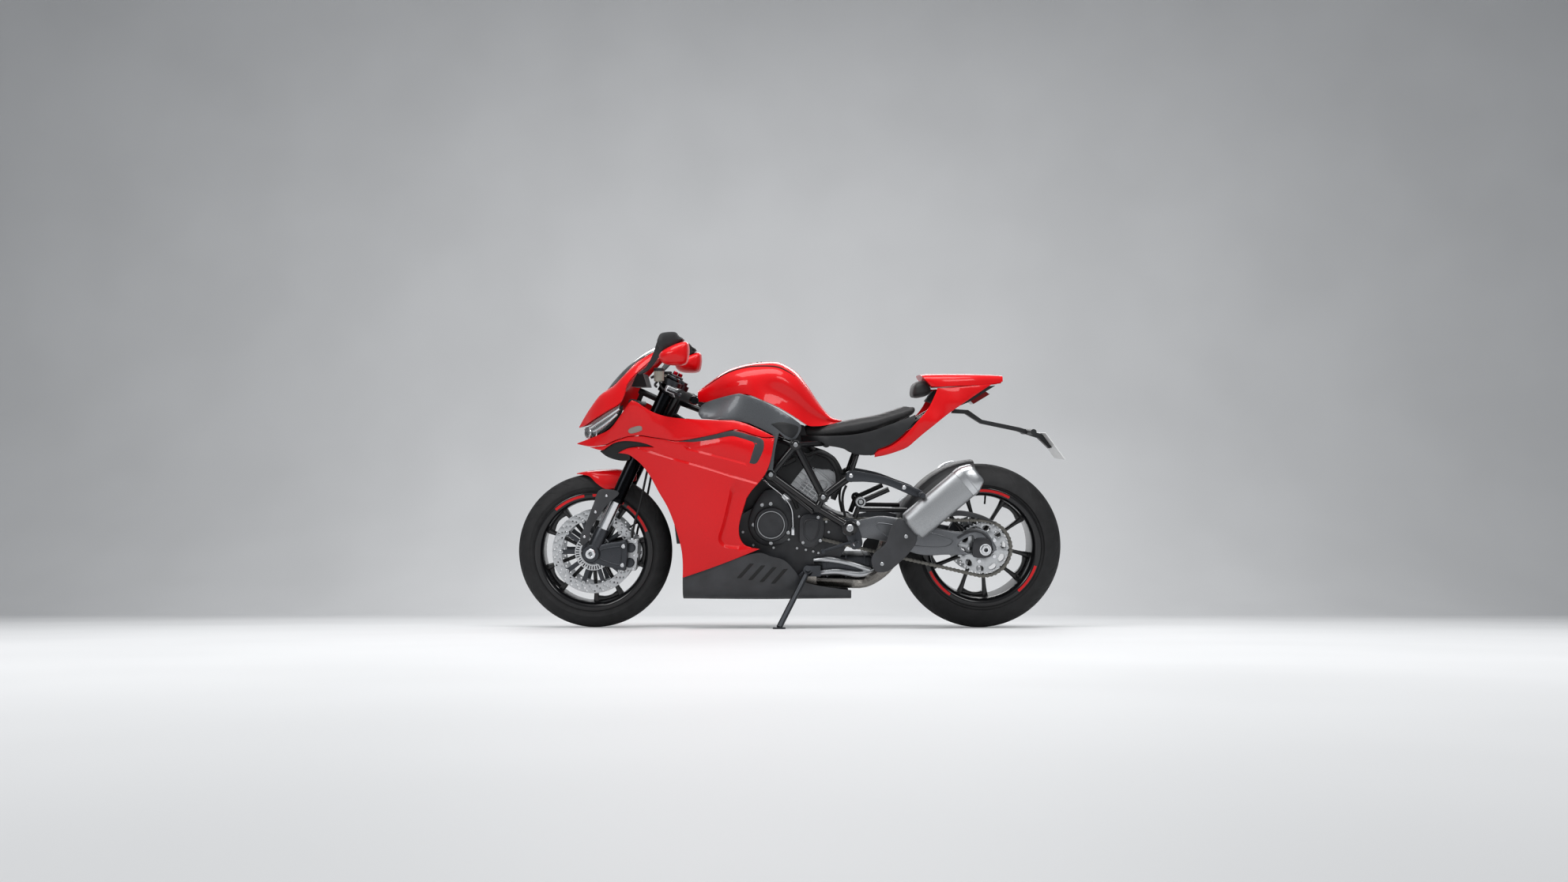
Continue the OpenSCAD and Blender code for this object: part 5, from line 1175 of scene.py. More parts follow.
# Wheels: tyres with cut tread, cast rims with paired spokes, and the brakes on them
rolling = {
    "front": {"at": frontWheel, "body": "front_wheel", "r": 300, "w": 120, "rimHalf": 48, "hubR": 40,
              "hub": (-55, 55),
              "turn": -2, "sipes": 26, "tape": [(21, 53.6), (58, 91), (99.5, 132)],
              "nodes": ["front_tyre", "front_rim"]},
    "rear": {"at": rearWheel, "body": "rear_wheel", "r": 320, "w": 190, "rimHalf": 76, "hubR": 52,
             "hub": (-86, 108),
             "turn": 46.5, "sipes": 26, "tape": [(61, 92), (205, 236), (310, 341)],
             "nodes": ["rear_tyre", "rear_rim"]},
    "beadR": 216, "innerR": 197, "sides": 560, "sipeDepth": 3.2, "sipeWidth": 6.5, "slant": 1.25, "pairs": 5,
    "spoke": {"near": 0.38, "far": 50, "wide": [20, 16, 14.5, 14.5, 17, 26],
              "deep": [42, 36, 30, 26, 24, 24]},
}


def tyreShape(wheel):
    r, crown, half = wheel["r"], wheel["w"] / 2, wheel["rimHalf"]
    angles = np.radians(np.linspace(-80, 80, 81))
    profile = np.stack([r - crown + crown * np.cos(angles), crown * np.sin(angles)], 1)
    wall = [(246, half + 9.2), (240, half + 6.8), (238.5, half + 6.6), (237, half + 5.2), (231, half + 2.2),
            (218, half - 2)]
    wall = [(x, h) for x, h in wall if x < profile[-1][0] - 2]
    profile = np.vstack([[(x, -h) for x, h in wall[::-1]], profile, wall])
    over = np.concatenate([np.full(len(wall), 9.0), np.abs(angles), np.full(len(wall), 9.0)]) * crown
    turns = np.linspace(0, 2 * math.pi, rolling["sides"], endpoint=False)
    pitch = 2 * math.pi * r / wheel["sipes"]
    edge = crown * 1.12
    depth = np.zeros((len(turns), len(profile)))
    for start, end, offset in ((0.10, 0.72, 0.0), (0.42, 0.98, 0.5)):  # long and short cuts by turns
        low, high = start * edge, end * edge
        share = np.clip((over - low) / (high - low), 0, 1)
        width = rolling["sipeWidth"] * np.sqrt(np.sin(math.pi * share))
        run = (turns[:, None] * r + rolling["slant"] * over[None, :] + offset * pitch) % pitch - pitch / 2
        depth = np.maximum(depth, np.clip((width[None, :] / 2 - np.abs(run)) / 1.6, 0,
                                          1) * (share > 0) * (share < 1))
    radius = profile[None, :, 0] - depth * rolling["sipeDepth"]
    points = np.stack([radius * np.cos(turns)[:, None], radius * np.sin(turns)[:, None],
                       np.broadcast_to(profile[:, 1], radius.shape)], 2)
    n, m = radius.shape
    faces = [[i * m + j, (i + 1) % n * m + j, (i + 1) % n * m + (j + 1) % m, i * m + (j + 1) % m]
             for i in range(n) for j in range(m)]
    return points.reshape(-1, 3), faces


def spokeShape(wheel, side):  # one spoke, rounded in section, that grows towards the rim
    spoke = rolling["spoke"]
    start = np.array([wheel["hubR"] * 0.86, side * wheel["hubR"] * spoke["near"]])
    end = np.array([math.sqrt(rolling["innerR"] ** 2 - spoke["far"] ** 2) + 3, side * spoke["far"]])
    way = (end - start) / np.linalg.norm(end - start)
    normal = np.array([-way[1], way[0]])
    turns = np.linspace(0, 2 * math.pi, 20, endpoint=False)
    c, s = np.cos(turns), np.sin(turns)
    wave = np.sign(c) * np.abs(c) ** 0.6, np.sign(s) * np.abs(s) ** 0.6
    rings = []
    for t in np.linspace(0, 1, 13):
        wide, deep = (np.interp(t, np.linspace(0, 1, 6), spoke[key]) for key in ("wide", "deep"))
        plan = start + (end - start) * t + np.outer(wave[0], normal) * wide / 2
        rings.append(np.column_stack([plan, wave[1] * deep / 2]))
    return loft(rings)


def turned(shape, degrees):
    a = math.radians(degrees)
    return placed(shape, frameAt((0, 0, 0), (math.cos(a), math.sin(a), 0), (-math.sin(a), math.cos(a), 0),
                                 (0, 0, 1)))


def wheelPieces(name, wheel):
    tyre, rim = wheel["nodes"]
    addPiece(name + "Tyre", placed(tyreShape(wheel), wheel["at"]), tyreRubber, wheel["body"], "tyre_rubber",
             [tyre], 28)
    h, r = wheel["rimHalf"], rolling["beadR"]
    edge = [(r - 1, h), (r + 12, h + 0.6), (r + 13.4, h + 3.4), (r + 12.6, h + 6.8), (r + 9, h + 8.1),
            (r - 3, h + 8.1),
            (r - 9, h + 5), (r - 15, h - 3), (r - 18, h - 15), (rolling["innerR"], h - 26)]
    barrel = edge + [(x, -y) for x, y in edge[::-1]] + [(207, -h + 22), (207, h - 22)]
    shapes = [ring(barrel, 128)]
    low, high = wheel["hub"]
    hub = wheel["hubR"]
    shapes.append(lathe([(14, low), (hub - 8, low), (hub - 5, low + 4), (hub - 9, low + 26),
                         (hub - 4, low + 42),
                         (hub - 4, high - 42), (hub - 9, high - 26), (hub - 5, high - 4), (hub - 8, high),
                         (14, high),
                         (14, low)], 48))
    web = [(172, -40), (195, -46), (199, -30), (200, 0), (199, 30), (195, 46), (172, 40), (182, 16), (184, 0),
           (182, -16)]
    web = [flatPlate(evenly(np.array(web + web[:1], float), 8)[:-1], 9, 18, 3)]
    web = [placed(w, frameAt((0, 0, 0), (1, 0, 0), (0, 0, -1), (0, 1, 0))) for w in web]
    for k in range(rolling["pairs"]):
        for part in [spokeShape(wheel, -1), spokeShape(wheel, 1)] + web:
            shapes.append(turned(part, wheel["turn"] + k * 360 / rolling["pairs"]))
    valve = tube([(r - 22, 0, 10), (r - 36, 0, 16), (r - 52, 0, 20)], [4, 3.4, 3.8], 12)
    shapes.append(turned(valve, wheel["turn"] + 36))
    addPiece(name + "Rim", placed(joined(shapes), wheel["at"]), blackEnamel, wheel["body"], "gloss_black",
             [rim], 35)
    band = [(r - 2, h + 8.15), (r + 8, h + 8.15), (r + 8, h + 8.75), (r - 2, h + 8.75)]
    tapes = [ring(band, 24, b - a, a) for a, b in wheel["tape"]]
    flip = np.diag([1.0, 1.0, -1.0, 1.0])
    addPiece(name + "RimTape", placed(joined(tapes + [placed(t, flip) for t in tapes]), wheel["at"]), redTape,
             wheel["body"], "red_paint")


for name in ("front", "rear"):
    wheelPieces(name, rolling[name])
print("wheels made")


# Discs: drilled bands on dark carriers, with rivets, and a slotted ring for the wheel's speed
brake = {
    "front": {"r": 160, "band": 36, "face": 60, "carrier": 56, "arms": 10, "holes": 3.4},
    "rear": {"r": 110, "band": 32, "face": 91, "carrier": 50, "arms": 6, "holes": 3.2},
    "slotRing": {"r": 71, "bore": 47, "slots": 40, "face": 65, "thickness": 2},
}


def drilledBand(disc):
    r, low = disc["r"], disc["r"] - disc["band"]
    holes = [circleOutline(0, 0, low, 72)]
    for k in range(30):
        for share, lag in ((0.24, 0.0), (0.52, 0.36), (0.78, 0.66)):
            a = 2 * math.pi * (k + lag) / 30
            holes.append(circleOutline((low + disc["band"] * share) * math.cos(a),
                                       (low + disc["band"] * share) * math.sin(a), disc["holes"], 10))
    return flatPlate(circleOutline(0, 0, r, 120), disc["face"], 5, 0.5, holes)


def carrierStar(disc):
    tip, core, arms = disc["r"] - disc["band"] + 4, disc["carrier"], disc["arms"]
    outline = []
    for k in range(arms):
        middle = 2 * math.pi * k / arms
        for lag, radius in ((-0.42, core), (-0.2, core + 10), (-0.12, tip - 14), (-0.13, tip), (0.13, tip),
                            (0.12, tip - 14),
                            (0.2, core + 10), (0.42, core)):
            a = middle + lag * 2 * math.pi / arms
            outline.append((radius * math.cos(a), radius * math.sin(a)))
    holes = [circleOutline(0, 0, 30, 36)]
    holes += [circleOutline(44 * math.cos(a), 44 * math.sin(a), 5, 12) for a in np.arange(6) * math.pi / 3]
    star = flatPlate(evenly(np.array(outline + outline[:1]), 7)[:-1], disc["face"] - 0.4, 4.2, 0.8, holes)
    rivet = ring([(2.5, -0.8), (7, -0.8), (7, 0.6), (5.5, 1.4), (2.5, 1.4)], 18)
    rivets = []
    for k in range(arms):
        a = 2 * math.pi * k / arms
        at = leftFace(((tip - 3) * math.cos(a), -disc["face"], (tip - 3) * math.sin(a)))
        rivets.append(placed(rivet, at))
    return star, joined(rivets)


def brakeDiscs():
    fx, fz = -wheelbase / 2, wheels["frontR"]
    rx, rz = wheelbase / 2, wheels["rearR"]
    star, rivets = carrierStar(brake["front"])
    addSides("frontDiscs", shifted(joined([drilledBand(brake["front"]), rivets]), fx, 0, fz), discSteel,
             "front_wheel", "disc_steel", ["front_discs"], 30)
    addSides("frontDiscCarriers", shifted(star, fx, 0, fz), darkMetal, "front_wheel", "dark_metal")
    star, rivets = carrierStar(brake["rear"])
    band = placed(joined([drilledBand(brake["rear"]), rivets]), mirrorY)
    addPiece("rearDisc", shifted(band, rx, 0, rz), discSteel, "rear_wheel", "disc_steel", ["rear_disc"], 30)
    addPiece("rearDiscCarrier", shifted(placed(star, mirrorY), rx, 0, rz), darkMetal, "rear_wheel",
             "dark_metal")
    slot = brake["slotRing"]
    holes = [circleOutline(0, 0, slot["bore"], 48)]
    for k in range(slot["slots"]):
        a, half = 2 * math.pi * k / slot["slots"], math.pi / slot["slots"] * 0.5
        corners = [(r * math.cos(a + s * half), r * math.sin(a + s * half)) for r, s in
                   ((slot["r"] - 17, -1), (slot["r"] - 3, -1), (slot["r"] - 3, 1), (slot["r"] - 17, 1))]
        holes.append(np.array(corners))
    plate = flatPlate(circleOutline(0, 0, slot["r"], 80), slot["face"], slot["thickness"], 0.3, holes)
    addPiece("speedRing", shifted(plate, fx, 0, fz), endCapSteel, "front_wheel", "disc_steel", (), 30)


brakeDiscs()
print("discs made")


# Engine: cast cylinders with fins, round covers, sprocket cover, hoses and bolts
engine = {
    "cylinders": [((33, 0, 440), 38), ((-120, 0, 400), -58)], "caseFace": 95.2,
    "round": {"left": (-61.5, 412, 66), "right": (45, 360, 74)},
    "housing": [[(-70, 545), (-45, 540), (-18, 512), (8, 478), (24, 440), (22, 392), (2, 352), (-35, 332),
                 (-90, 332),
                 (-128, 356), (-148, 400), (-142, 448), (-118, 500), (-92, 536), (-70, 545)]],
    "sprocketCover": [[(47, 350), (46, 398), (50, 436), (70, 451), (105, 451), (128, 444), (141, 420),
                       (142, 388),
                       (130, 350), (108, 330), (82, 324), (58, 332), (47, 350)]],
    "coverRib": [(66, 372), (64, 408), (76, 430), (112, 430), (122, 412), (112, 368), (90, 350), (66, 372)],
    "inner": [[(-178, 455), (-178, 600), (-150, 770), (-20, 812)], [(-20, 812), (66, 790)],
              [(66, 790), (80, 735), (104, 672)],
              [(104, 672), (40, 596), (-22, 512)], [(-22, 512), (-70, 470), (-178, 455)]],
    "hoses": [
        {"path": [(60, -60, 740), (108, -92, 690), (158, -104, 668), (192, -100, 616), (196, -90, 560),
                  (176, -92, 505)], "r": 11},
        {"path": [(20, -80, 720), (70, -100, 676), (118, -108, 690), (176, -110, 664), (210, -100, 606)],
         "r": 8},
        {"path": [(-90, -84, 700), (-60, -100, 655), (-20, -104, 640), (30, -98, 660)], "r": 10},
        {"path": [(-128, -80, 640), (-96, -104, 590), (-40, -104, 556), (14, -104, 520), (40, -104, 470)],
         "r": 7},
        {"path": [(226, -120, 560), (214, -126, 530), (212, -126, 490), (222, -124, 440)], "r": 5}],
    "cables": [{"path": [(-100, -150, 592), (-62, -158, 560), (-14, -152, 520), (16, -140, 474),
                         (22, -132, 420), (22, -128, 398)],
                "r": 2.6}],
    "caseBolts": [(46, 440), (6, 352), (58, 368), (38, 318), (72, 312), (100, 306), (-52, 320), (-18, 345),
                  (-92, 484),
                  (150, 420), (160, 380), (120, 300), (-130, 330), (-170, 380)],
    "coverBolts": [(-63, 490), (-22, 447), (-96, 486), (-128, 410), (-62, 340), (4, 380)],
}


def cylinderPieces():
    cast, dark, bright = [], [], []
    for (x, y, z), tilt in engine["cylinders"]:
        s, c = math.sin(math.radians(tilt)), math.cos(math.radians(tilt))
        at = frameAt((x, y, z), (c, 0, -s), (0, 1, 0), (s, 0, c))
        parts = [shifted(roundedBox((106, 122, 130), 7), 0, 0, 65),
                 shifted(roundedBox((118, 130, 62), 6), 0, 0, 156)]
        parts += [shifted(roundedBox((126, 138, 4.6), 1.8), 0, 0, 92 + 13 * k) for k in range(6)]
        parts += [shifted(roundedBox((7, 134, 90), 2.5), u, 0, 88) for u in (-38, -14, 12, 38)]
        if tilt > 0:  # the camshaft drive's cover, ahead of the cylinder
            parts.append(shifted(roundedBox((66, 128, 150), 8), -84, 0, 112))
            parts += [shifted(roundedBox((60, 136, 6), 2.2), -86, 0, 62 + 22 * k) for k in range(6)]
        plug = lathe([(19, 0), (19, 5), (16, 8), (12, 8), (11, 5.5), (0.01, 5.5)], 36)
        for side in (-1, 1):
            face = frameAt((8, side * 65, 158), (1, 0, 0), (0, 0, side), (0, side, 0)) if side > 0 else \
                leftFace((8, -65, 158))
            parts.append(placed(plug, face))
            for u, v in ((-50, 134), (50, 134), (-50, 180), (50, 180)):
                spot = face.copy()
                spot[:3, 3] = (u, side * 65, v)
                bright.append(placed(placed(boltHead(5, 5), spot), at))
        cast.append(placed(joined(parts), at))
        cover = [shifted(roundedBox((102, 122, 40), 11, 3), 0, 0, 208),
                 shifted(roundedBox((112, 128, 8), 2.5), 0, 0, 190)]
        dark.append(placed(joined(cover), at))
    addPiece("cylinders", joined(cast), castAluminium, "root", "cast_aluminium", ["cylinders"], 35)
    addPiece("camCovers", joined(dark), castAluminium, "root", "cast_aluminium", (), 35)
    return bright


def enginePieces():
    face = engine["caseFace"]
    bright = cylinderPieces()
    covers, rings = [], []
    for side, (x, z, r) in engine["round"].items():
        cover = lathe([(r, 0), (r, 42), (r - 3, 47), (r - 8, 49), (r - 12, 49), (r - 12, 52), (r - 13.5, 54),
                       (r - 17, 54),
                       (r - 18.5, 52), (r - 18.5, 48), (r - 24, 47), (0.01, 47)], 72)
        bezel = ring([(r - 16.8, 53.6), (r - 13.6, 53.6), (r - 14.2, 54.9), (r - 16.2, 54.9)], 72)
        out = (0, -1, 0) if side == "left" else (0, 1, 0)
        at = frameAt((x, out[1] * face, z), (1, 0, 0), (0, 0, -out[1]), out)
        covers.append(placed(cover, at))
        rings.append(placed(bezel, at))
    covers.append(flatPlate(traced(engine["housing"], 8), face + 22, 21.5, 5, (), 30))
    addPiece("engineCovers", joined(covers), blackCasting, "root", "gloss_black", ["engine_covers"], 35)
    addPiece("engineCoverRings", joined(rings), discSteel, "root", "disc_steel")
    plate = flatPlate(traced(engine["sprocketCover"], 7), 140.5, 14, 5, (), 30)
    rib = tube([(x, -140.5, z) for x, z in smoothPath(engine["coverRib"], 40)], 3.2, 10)
    posts = [tube([(x, -face, z), (x, -130, z)], 8, 16) for x, z in ((75, 360), (78, 435))]
    addPiece("sprocketCover", joined([plate, rib] + posts), blackCasting, "root", "gloss_black",
             ["sprocket_cover"], 35)
    addSides("engineInnerPanels", flatPlate(traced(engine["inner"], 10), 74, 3, 1, (), 60), blackPlastic,
             "root", "black_plastic")
    hoses = [tube(smoothPath(h["path"], 40), h["r"], 14) for h in engine["hoses"]]
    addSides("engineHoses", joined(hoses), hoseRubber, "root", "black_plastic")
    cables = [tube(smoothPath(c["path"], 40), c["r"], 10) for c in engine["cables"]]
    fitting = [shifted(roundedBox((11, 9, 30), 2), 22, -127, 386)]
    addPiece("engineCable", joined(cables + fitting), chromedSteel, "root", "bright_steel")
    for x, z in engine["caseBolts"]:
        bright.append(placed(boltHead(5, 5), leftFace((x, -face, z))))
    for x, z in engine["coverBolts"]:
        bright.append(placed(boltHead(7.5, 6), leftFace((x, -face - 22, z))))
    for x, z in ((60, 344), (126, 352), (118, 440)):
        bright.append(placed(boltHead(6.5, 6), leftFace((x, -140.5, z))))
    addPiece("engineBolts", joined(bright), discSteel, "root", "bright_steel", (), 30)


enginePieces()


# Bolts and washers on the frame's bosses
frameBolts = {"bosses": [(31.5, 207, 717), (-61.5, 217, 606), (240, 182.3, 597), (135, 197, 520)],
              "pivot": (235.5, 205.4, 405)}


def framePieces():
    washers, bolts = [], []
    for x, y, z in frameBolts["bosses"][:2] + frameBolts["bosses"][3:]:
        washers.append(placed(ring([(8, 0), (17, 0), (17, 2), (15, 3.5), (8, 3.5)], 36),
                              leftFace((x, -y, z))))
        bolts.append(placed(boltHead(9, 8), leftFace((x, -y, z))))
    x, y, z = frameBolts["pivot"]
    washers.append(placed(ring([(14, 0), (27, 0), (27, 2), (24, 4), (14, 4)], 40), leftFace((x, -y, z))))
    bolts.append(placed(boltHead(14, 9), leftFace((x, -y, z))))
    bolts.append(placed(joined([ring([(13, 0), (18, 0), (18, 2), (13, 2)], 36), boltHead(8, 8)]),
                        leftFace((279, -168, 500))))
    lower = tube([(-56, -197, 590), (98, -187, 462)], 9.5, 20)
    stay = [tube([(272, -150, 470), (455, -150, 468)], 9, 16),
            tube([(279, -150, 500), (386, -156, 548)], 10, 16),
            tube([(279, -148, 500), (256, -150, 440)], 10, 16)]
    boss = placed(ring([(9, -10), (19, -10), (19, 8), (17, 10), (9, 10)], 36), leftFace((279, -158, 500)))
    washers += [lower, boss] + stay
    addSides("frameWashers", joined(washers), blackEnamel, "root", "gloss_black")
    addSides("frameBolts", joined(bolts), discSteel, "root", "bright_steel", (), 30)


framePieces()
print("engine made")


# Chain drive: sprocket with slots, and links that take turns round both sprockets
drive = {
    "rear": (750, 320, 106.2), "front": (150, 392, 40.7), "pitch": 15.875, "middle": 112, "teeth": 42,
    "plate": {"end": 6.9, "waist": 4.6, "thickness": 1.8}, "outer": 8.6, "inner": 5.9, "rollerR": 5.1,
}


def chainPins():  # places of the pins along the chain, one pitch apart
    (rx, rz, rr), (fx, fz, fr) = drive["rear"], drive["front"]
    span = math.hypot(rx - fx, rz - fz)
    tilt, spread = math.atan2(rz - fz, rx - fx), math.asin((rr - fr) / span)
    high, low = tilt + math.pi / 2 + spread, tilt - math.pi / 2 - spread
    back = [(rx + rr * math.cos(a), rz + rr * math.sin(a)) for a in np.linspace(high, low, 90)]
    fore = [(fx + fr * math.cos(a), fz + fr * math.sin(a)) for a in np.linspace(low + 2 * math.pi, high, 60)]
    loop = np.array(back + fore + back[:1])
    length = np.linalg.norm(np.diff(loop, axis=0), axis=1).sum()
    return evenly(loop, length / (2 * round(length / drive["pitch"] / 2)))[:-1]


def chainShape():
    pins = chainPins()
    plate = drive["plate"]
    turns = np.linspace(-math.pi / 2, math.pi / 2, 7)
    shapes = []
    for k, (a, b) in enumerate(zip(pins, np.roll(pins, -1, axis=0))):
        way = (b - a) / np.linalg.norm(b - a)
        normal = np.array([-way[1], way[0]])
        half = np.linalg.norm(b - a) / 2
        right = [(half + plate["end"] * math.cos(t), plate["end"] * math.sin(t)) for t in turns]
        outline = right + [(0, plate["waist"])] + [(-x, -z) for x, z in right] + [(0, -plate["waist"])]
        outline = np.array([(a + b) / 2 + way * x + normal * z for x, z in outline])
        for side in (-1, 1):
            at = drive["middle"] + side * drive["outer" if k % 2 else "inner"] + plate["thickness"] / 2
            shapes.append(flatPlate(outline, at, plate["thickness"], 0.5))
        shapes.append(tube([(a[0], -drive["middle"] - 9.6, a[1]), (a[0], -drive["middle"] + 9.6, a[1])], 3,
                           10))
        shapes.append(tube([(a[0], -drive["middle"] - 5, a[1]), (a[0], -drive["middle"] + 5, a[1])],
                           drive["rollerR"], 10))
    return joined(shapes)


def sprocketShape():
    x, z, r = drive["rear"]
    outline = []
    for k in range(drive["teeth"]):
        for lag, radius in ((-0.5, r - 12.4), (-0.3, r - 11.6), (-0.14, r - 5.7), (0.14, r - 5.7),
                            (0.3, r - 11.6)):
            a = 2 * math.pi * (k + lag) / drive["teeth"]
            outline.append((x + radius * math.cos(a), z + radius * math.sin(a)))
    holes = [circleOutline(x, z, 34, 40)]
    for k in range(10):
        a = 2 * math.pi * (k + 0.25) / 10
        way, wide = np.array([math.cos(a), math.sin(a)]), np.array([-math.sin(a), math.cos(a)])
        turns = np.linspace(0, 2 * math.pi, 20, endpoint=False)
        holes.append(np.array([(x, z) + way * (77.5 + 11 * math.cos(t)) + wide * 15 * math.sin(t)
                               for t in turns]))
    return flatPlate(np.array(outline), drive["middle"] + 4, 8, 0.9, holes)


def drivePieces():
    addPiece("chainLinks", chainShape(), chainSteel, "root", "disc_steel", ["chain"], 35)
    addPiece("sprocket", sprocketShape(), discSteel, "rear_wheel", "disc_steel", ["rear_sprocket"], 35)
    x, z, r = drive["rear"]
    carrier = placed(lathe([(33, 100), (62, 100), (62, 108), (58, 110), (40, 112), (33, 112)], 60), rearWheel)
    nuts = []
    for k in range(5):
        a = 2 * math.pi * (k + 0.5) / 5
        at = leftFace((x + 52 * math.cos(a), -116, z + 52 * math.sin(a)))
        nuts.append(placed(joined([lathe([(9, 0), (9, 6), (8, 7.5), (5, 7.5)], 6),
                                   lathe([(5, 7), (5, 10), (0.01, 10)], 12)]), at))
    addPiece("sprocketCarrier", carrier, blackEnamel, "rear_wheel", "gloss_black")
    addPiece("sprocketNuts", joined(nuts), chromedSteel, "rear_wheel", "bright_steel", (), 30)


drivePieces()
print("drive made")


# Swingarm: two arms with eyes, a bridge, axle blocks and nuts
arm = {
    "pivot": (235.5, 405), "axle": (750, 320), "out": 165, "thick": 35, "edge": 6,
    "outline": [(-0.05, 0), (-0.02, 0.055), (0.06, 0.06), (0.19, 0.107), (0.3, 0.119), (0.46, 0.109),
                (0.59, 0.095),
                (0.71, 0.093), (0.81, 0.094), (0.865, 0.122), (0.915, 0.142), (0.975, 0.138), (1.025, 0.094),
                (1.055, 0.06), (1.083, 0.009), (1.0, -0.035), (0.88, -0.06), (0.73, -0.084), (0.53, -0.115),
                (0.25, -0.06), (-0.01, -0.066)],
    "eyes": [[(0.8, 0), (0.825, 0.036), (0.855, 0.06), (0.898, 0.082), (0.93, -0.028), (0.885, -0.045),
              (0.835, -0.028)],
             [(1.01, 0.075), (1.03, 0.058), (1.055, -0.003), (1.025, -0.012)]],
    "pocket": [(0.2, 0.06), (0.45, 0.062), (0.7, 0.045), (0.76, 0.02), (0.7, -0.03), (0.5, -0.055),
               (0.28, -0.02)],
}


def alongArm(places):
    base, end = np.array(arm["pivot"]), np.array(arm["axle"])
    way = end - base
    return np.array([base + way * u + np.array([-way[1], way[0]]) * v for u, v in places])


def swingarmPieces():
    eyes = [closedCurve(alongArm(e), 5) for e in arm["eyes"]]
    plate = flatPlate(closedCurve(alongArm(arm["outline"])), arm["out"], arm["thick"], arm["edge"], eyes, 60)
    bead = np.array([(x, -arm["out"], z) for x, z in closedCurve(alongArm(arm["pocket"]), 8)])
    bead = tube(np.vstack([bead, bead[:2]]), 2.4, 8)
    half = [plate, bead]
    bridge = alongArm([(0.13, -0.03), (0.342, -0.03), (0.342, 0.055), (0.13, 0.055), (0.13, -0.03)])
    bridge = flatPlate(evenly(bridge, 12)[:-1], 131, 262, 5)
    pivot = tube([(235.5, -204, 405), (235.5, 204, 405)], 15.5, 32)
    addPiece("swingarm", joined([bothSides(joined(half)), bridge, pivot]), armAluminium, "root", "dark_metal",
             ["swingarm"], 35)
    block = [(702, 300), (706, 352), (724, 364), (756, 362), (772, 346), (774, 302), (756, 290), (716, 290)]
    block = flatPlate(closedCurve(block, 6), 171, 6.2, 2.5, [circleOutline(750, 320, 15, 28)])
    arch = alongArm([(0.79, 0.05), (0.84, 0.094), (0.9, 0.12), (0.95, 0.121), (0.99, 0.1), (1.02, 0.07)])
    arch = tube([(x, -166.5, z) for x, z in smoothPath(arch, 24)], 4.5, 10)
    addSides("axleBlocks", joined([block, arch]), blackCasting, "root", "gloss_black", (), 35)
    nut = joined([ring([(12.6, 0), (22, 0), (22, 2.5), (12.6, 2.5)], 36),
                  ring([(12.6, 2.5), (18, 2.5), (18, 11), (16.5, 13), (12.6, 13)], 6)])
    nut = placed(nut, leftFace((750, -171, 320)))
    adjuster = [tube([(774, -148, 322), (796, -148, 319)], 5, 12),
                tube([(778, -148, 321.5), (785, -148, 320.5)], 8.5, 6)]
    addSides("axleNuts", joined([nut] + adjuster), chromedSteel, "root", "bright_steel", (), 30)
    guard = [(560, 442), (640, 462), (700, 458), (760, 440), (800, 414), (770, 424), (700, 440), (640, 444),
             (570, 428)]
    guard = flatPlate(closedCurve(guard, 8), 128, 40, 2.5, (), 30)
    addPiece("chainGuard", guard, charcoalPlastic, "root", "black_plastic", (), 40)


swingarmPieces()
print("swingarm made")


# Silencers: flattened sleeves with a pale band and an end cap, and shields over the link pipes
muffler = {
    "base": (469.5, -228, 414), "rise": 40, "high": 59, "wide": 50, "power": 0.72,
    # distance along the axis and share of the full section
    "sleeve": [(-14, 0.66), (-13, 0.7), (-2, 0.965), (4, 1), (60, 1), (150, 1), (240, 1), (244, 0.985)],
    "band": [(243, 0.98), (244.5, 1.02), (266, 1.02), (268, 0.98)],
    "cap": [(266, 0.985), (276, 0.985), (300, 0.8), (309, 0.72), (311, 0.66)],
    "outlet": [(30, 260), (30, 311), (31.5, 314), (34, 314), (35, 310)],
    "shield": [(421.5, 445), (483, 366), (397.5, 263), (340.5, 244), (316.5, 268), (318, 309), (364.5, 352),
               (384, 408)],
    "collector": ((226, 0, 250), (206, 196, 78)),
    "links": [[(104, -96, 272), (160, -106, 276), (240, -108, 262), (318, -104, 236)],
              [(112, -100, 222), (190, -110, 230), (280, -108, 220), (346, -104, 236)]],
    "shieldAt": 259, "shieldBolts": [(441, 378), (352, 276)],
}


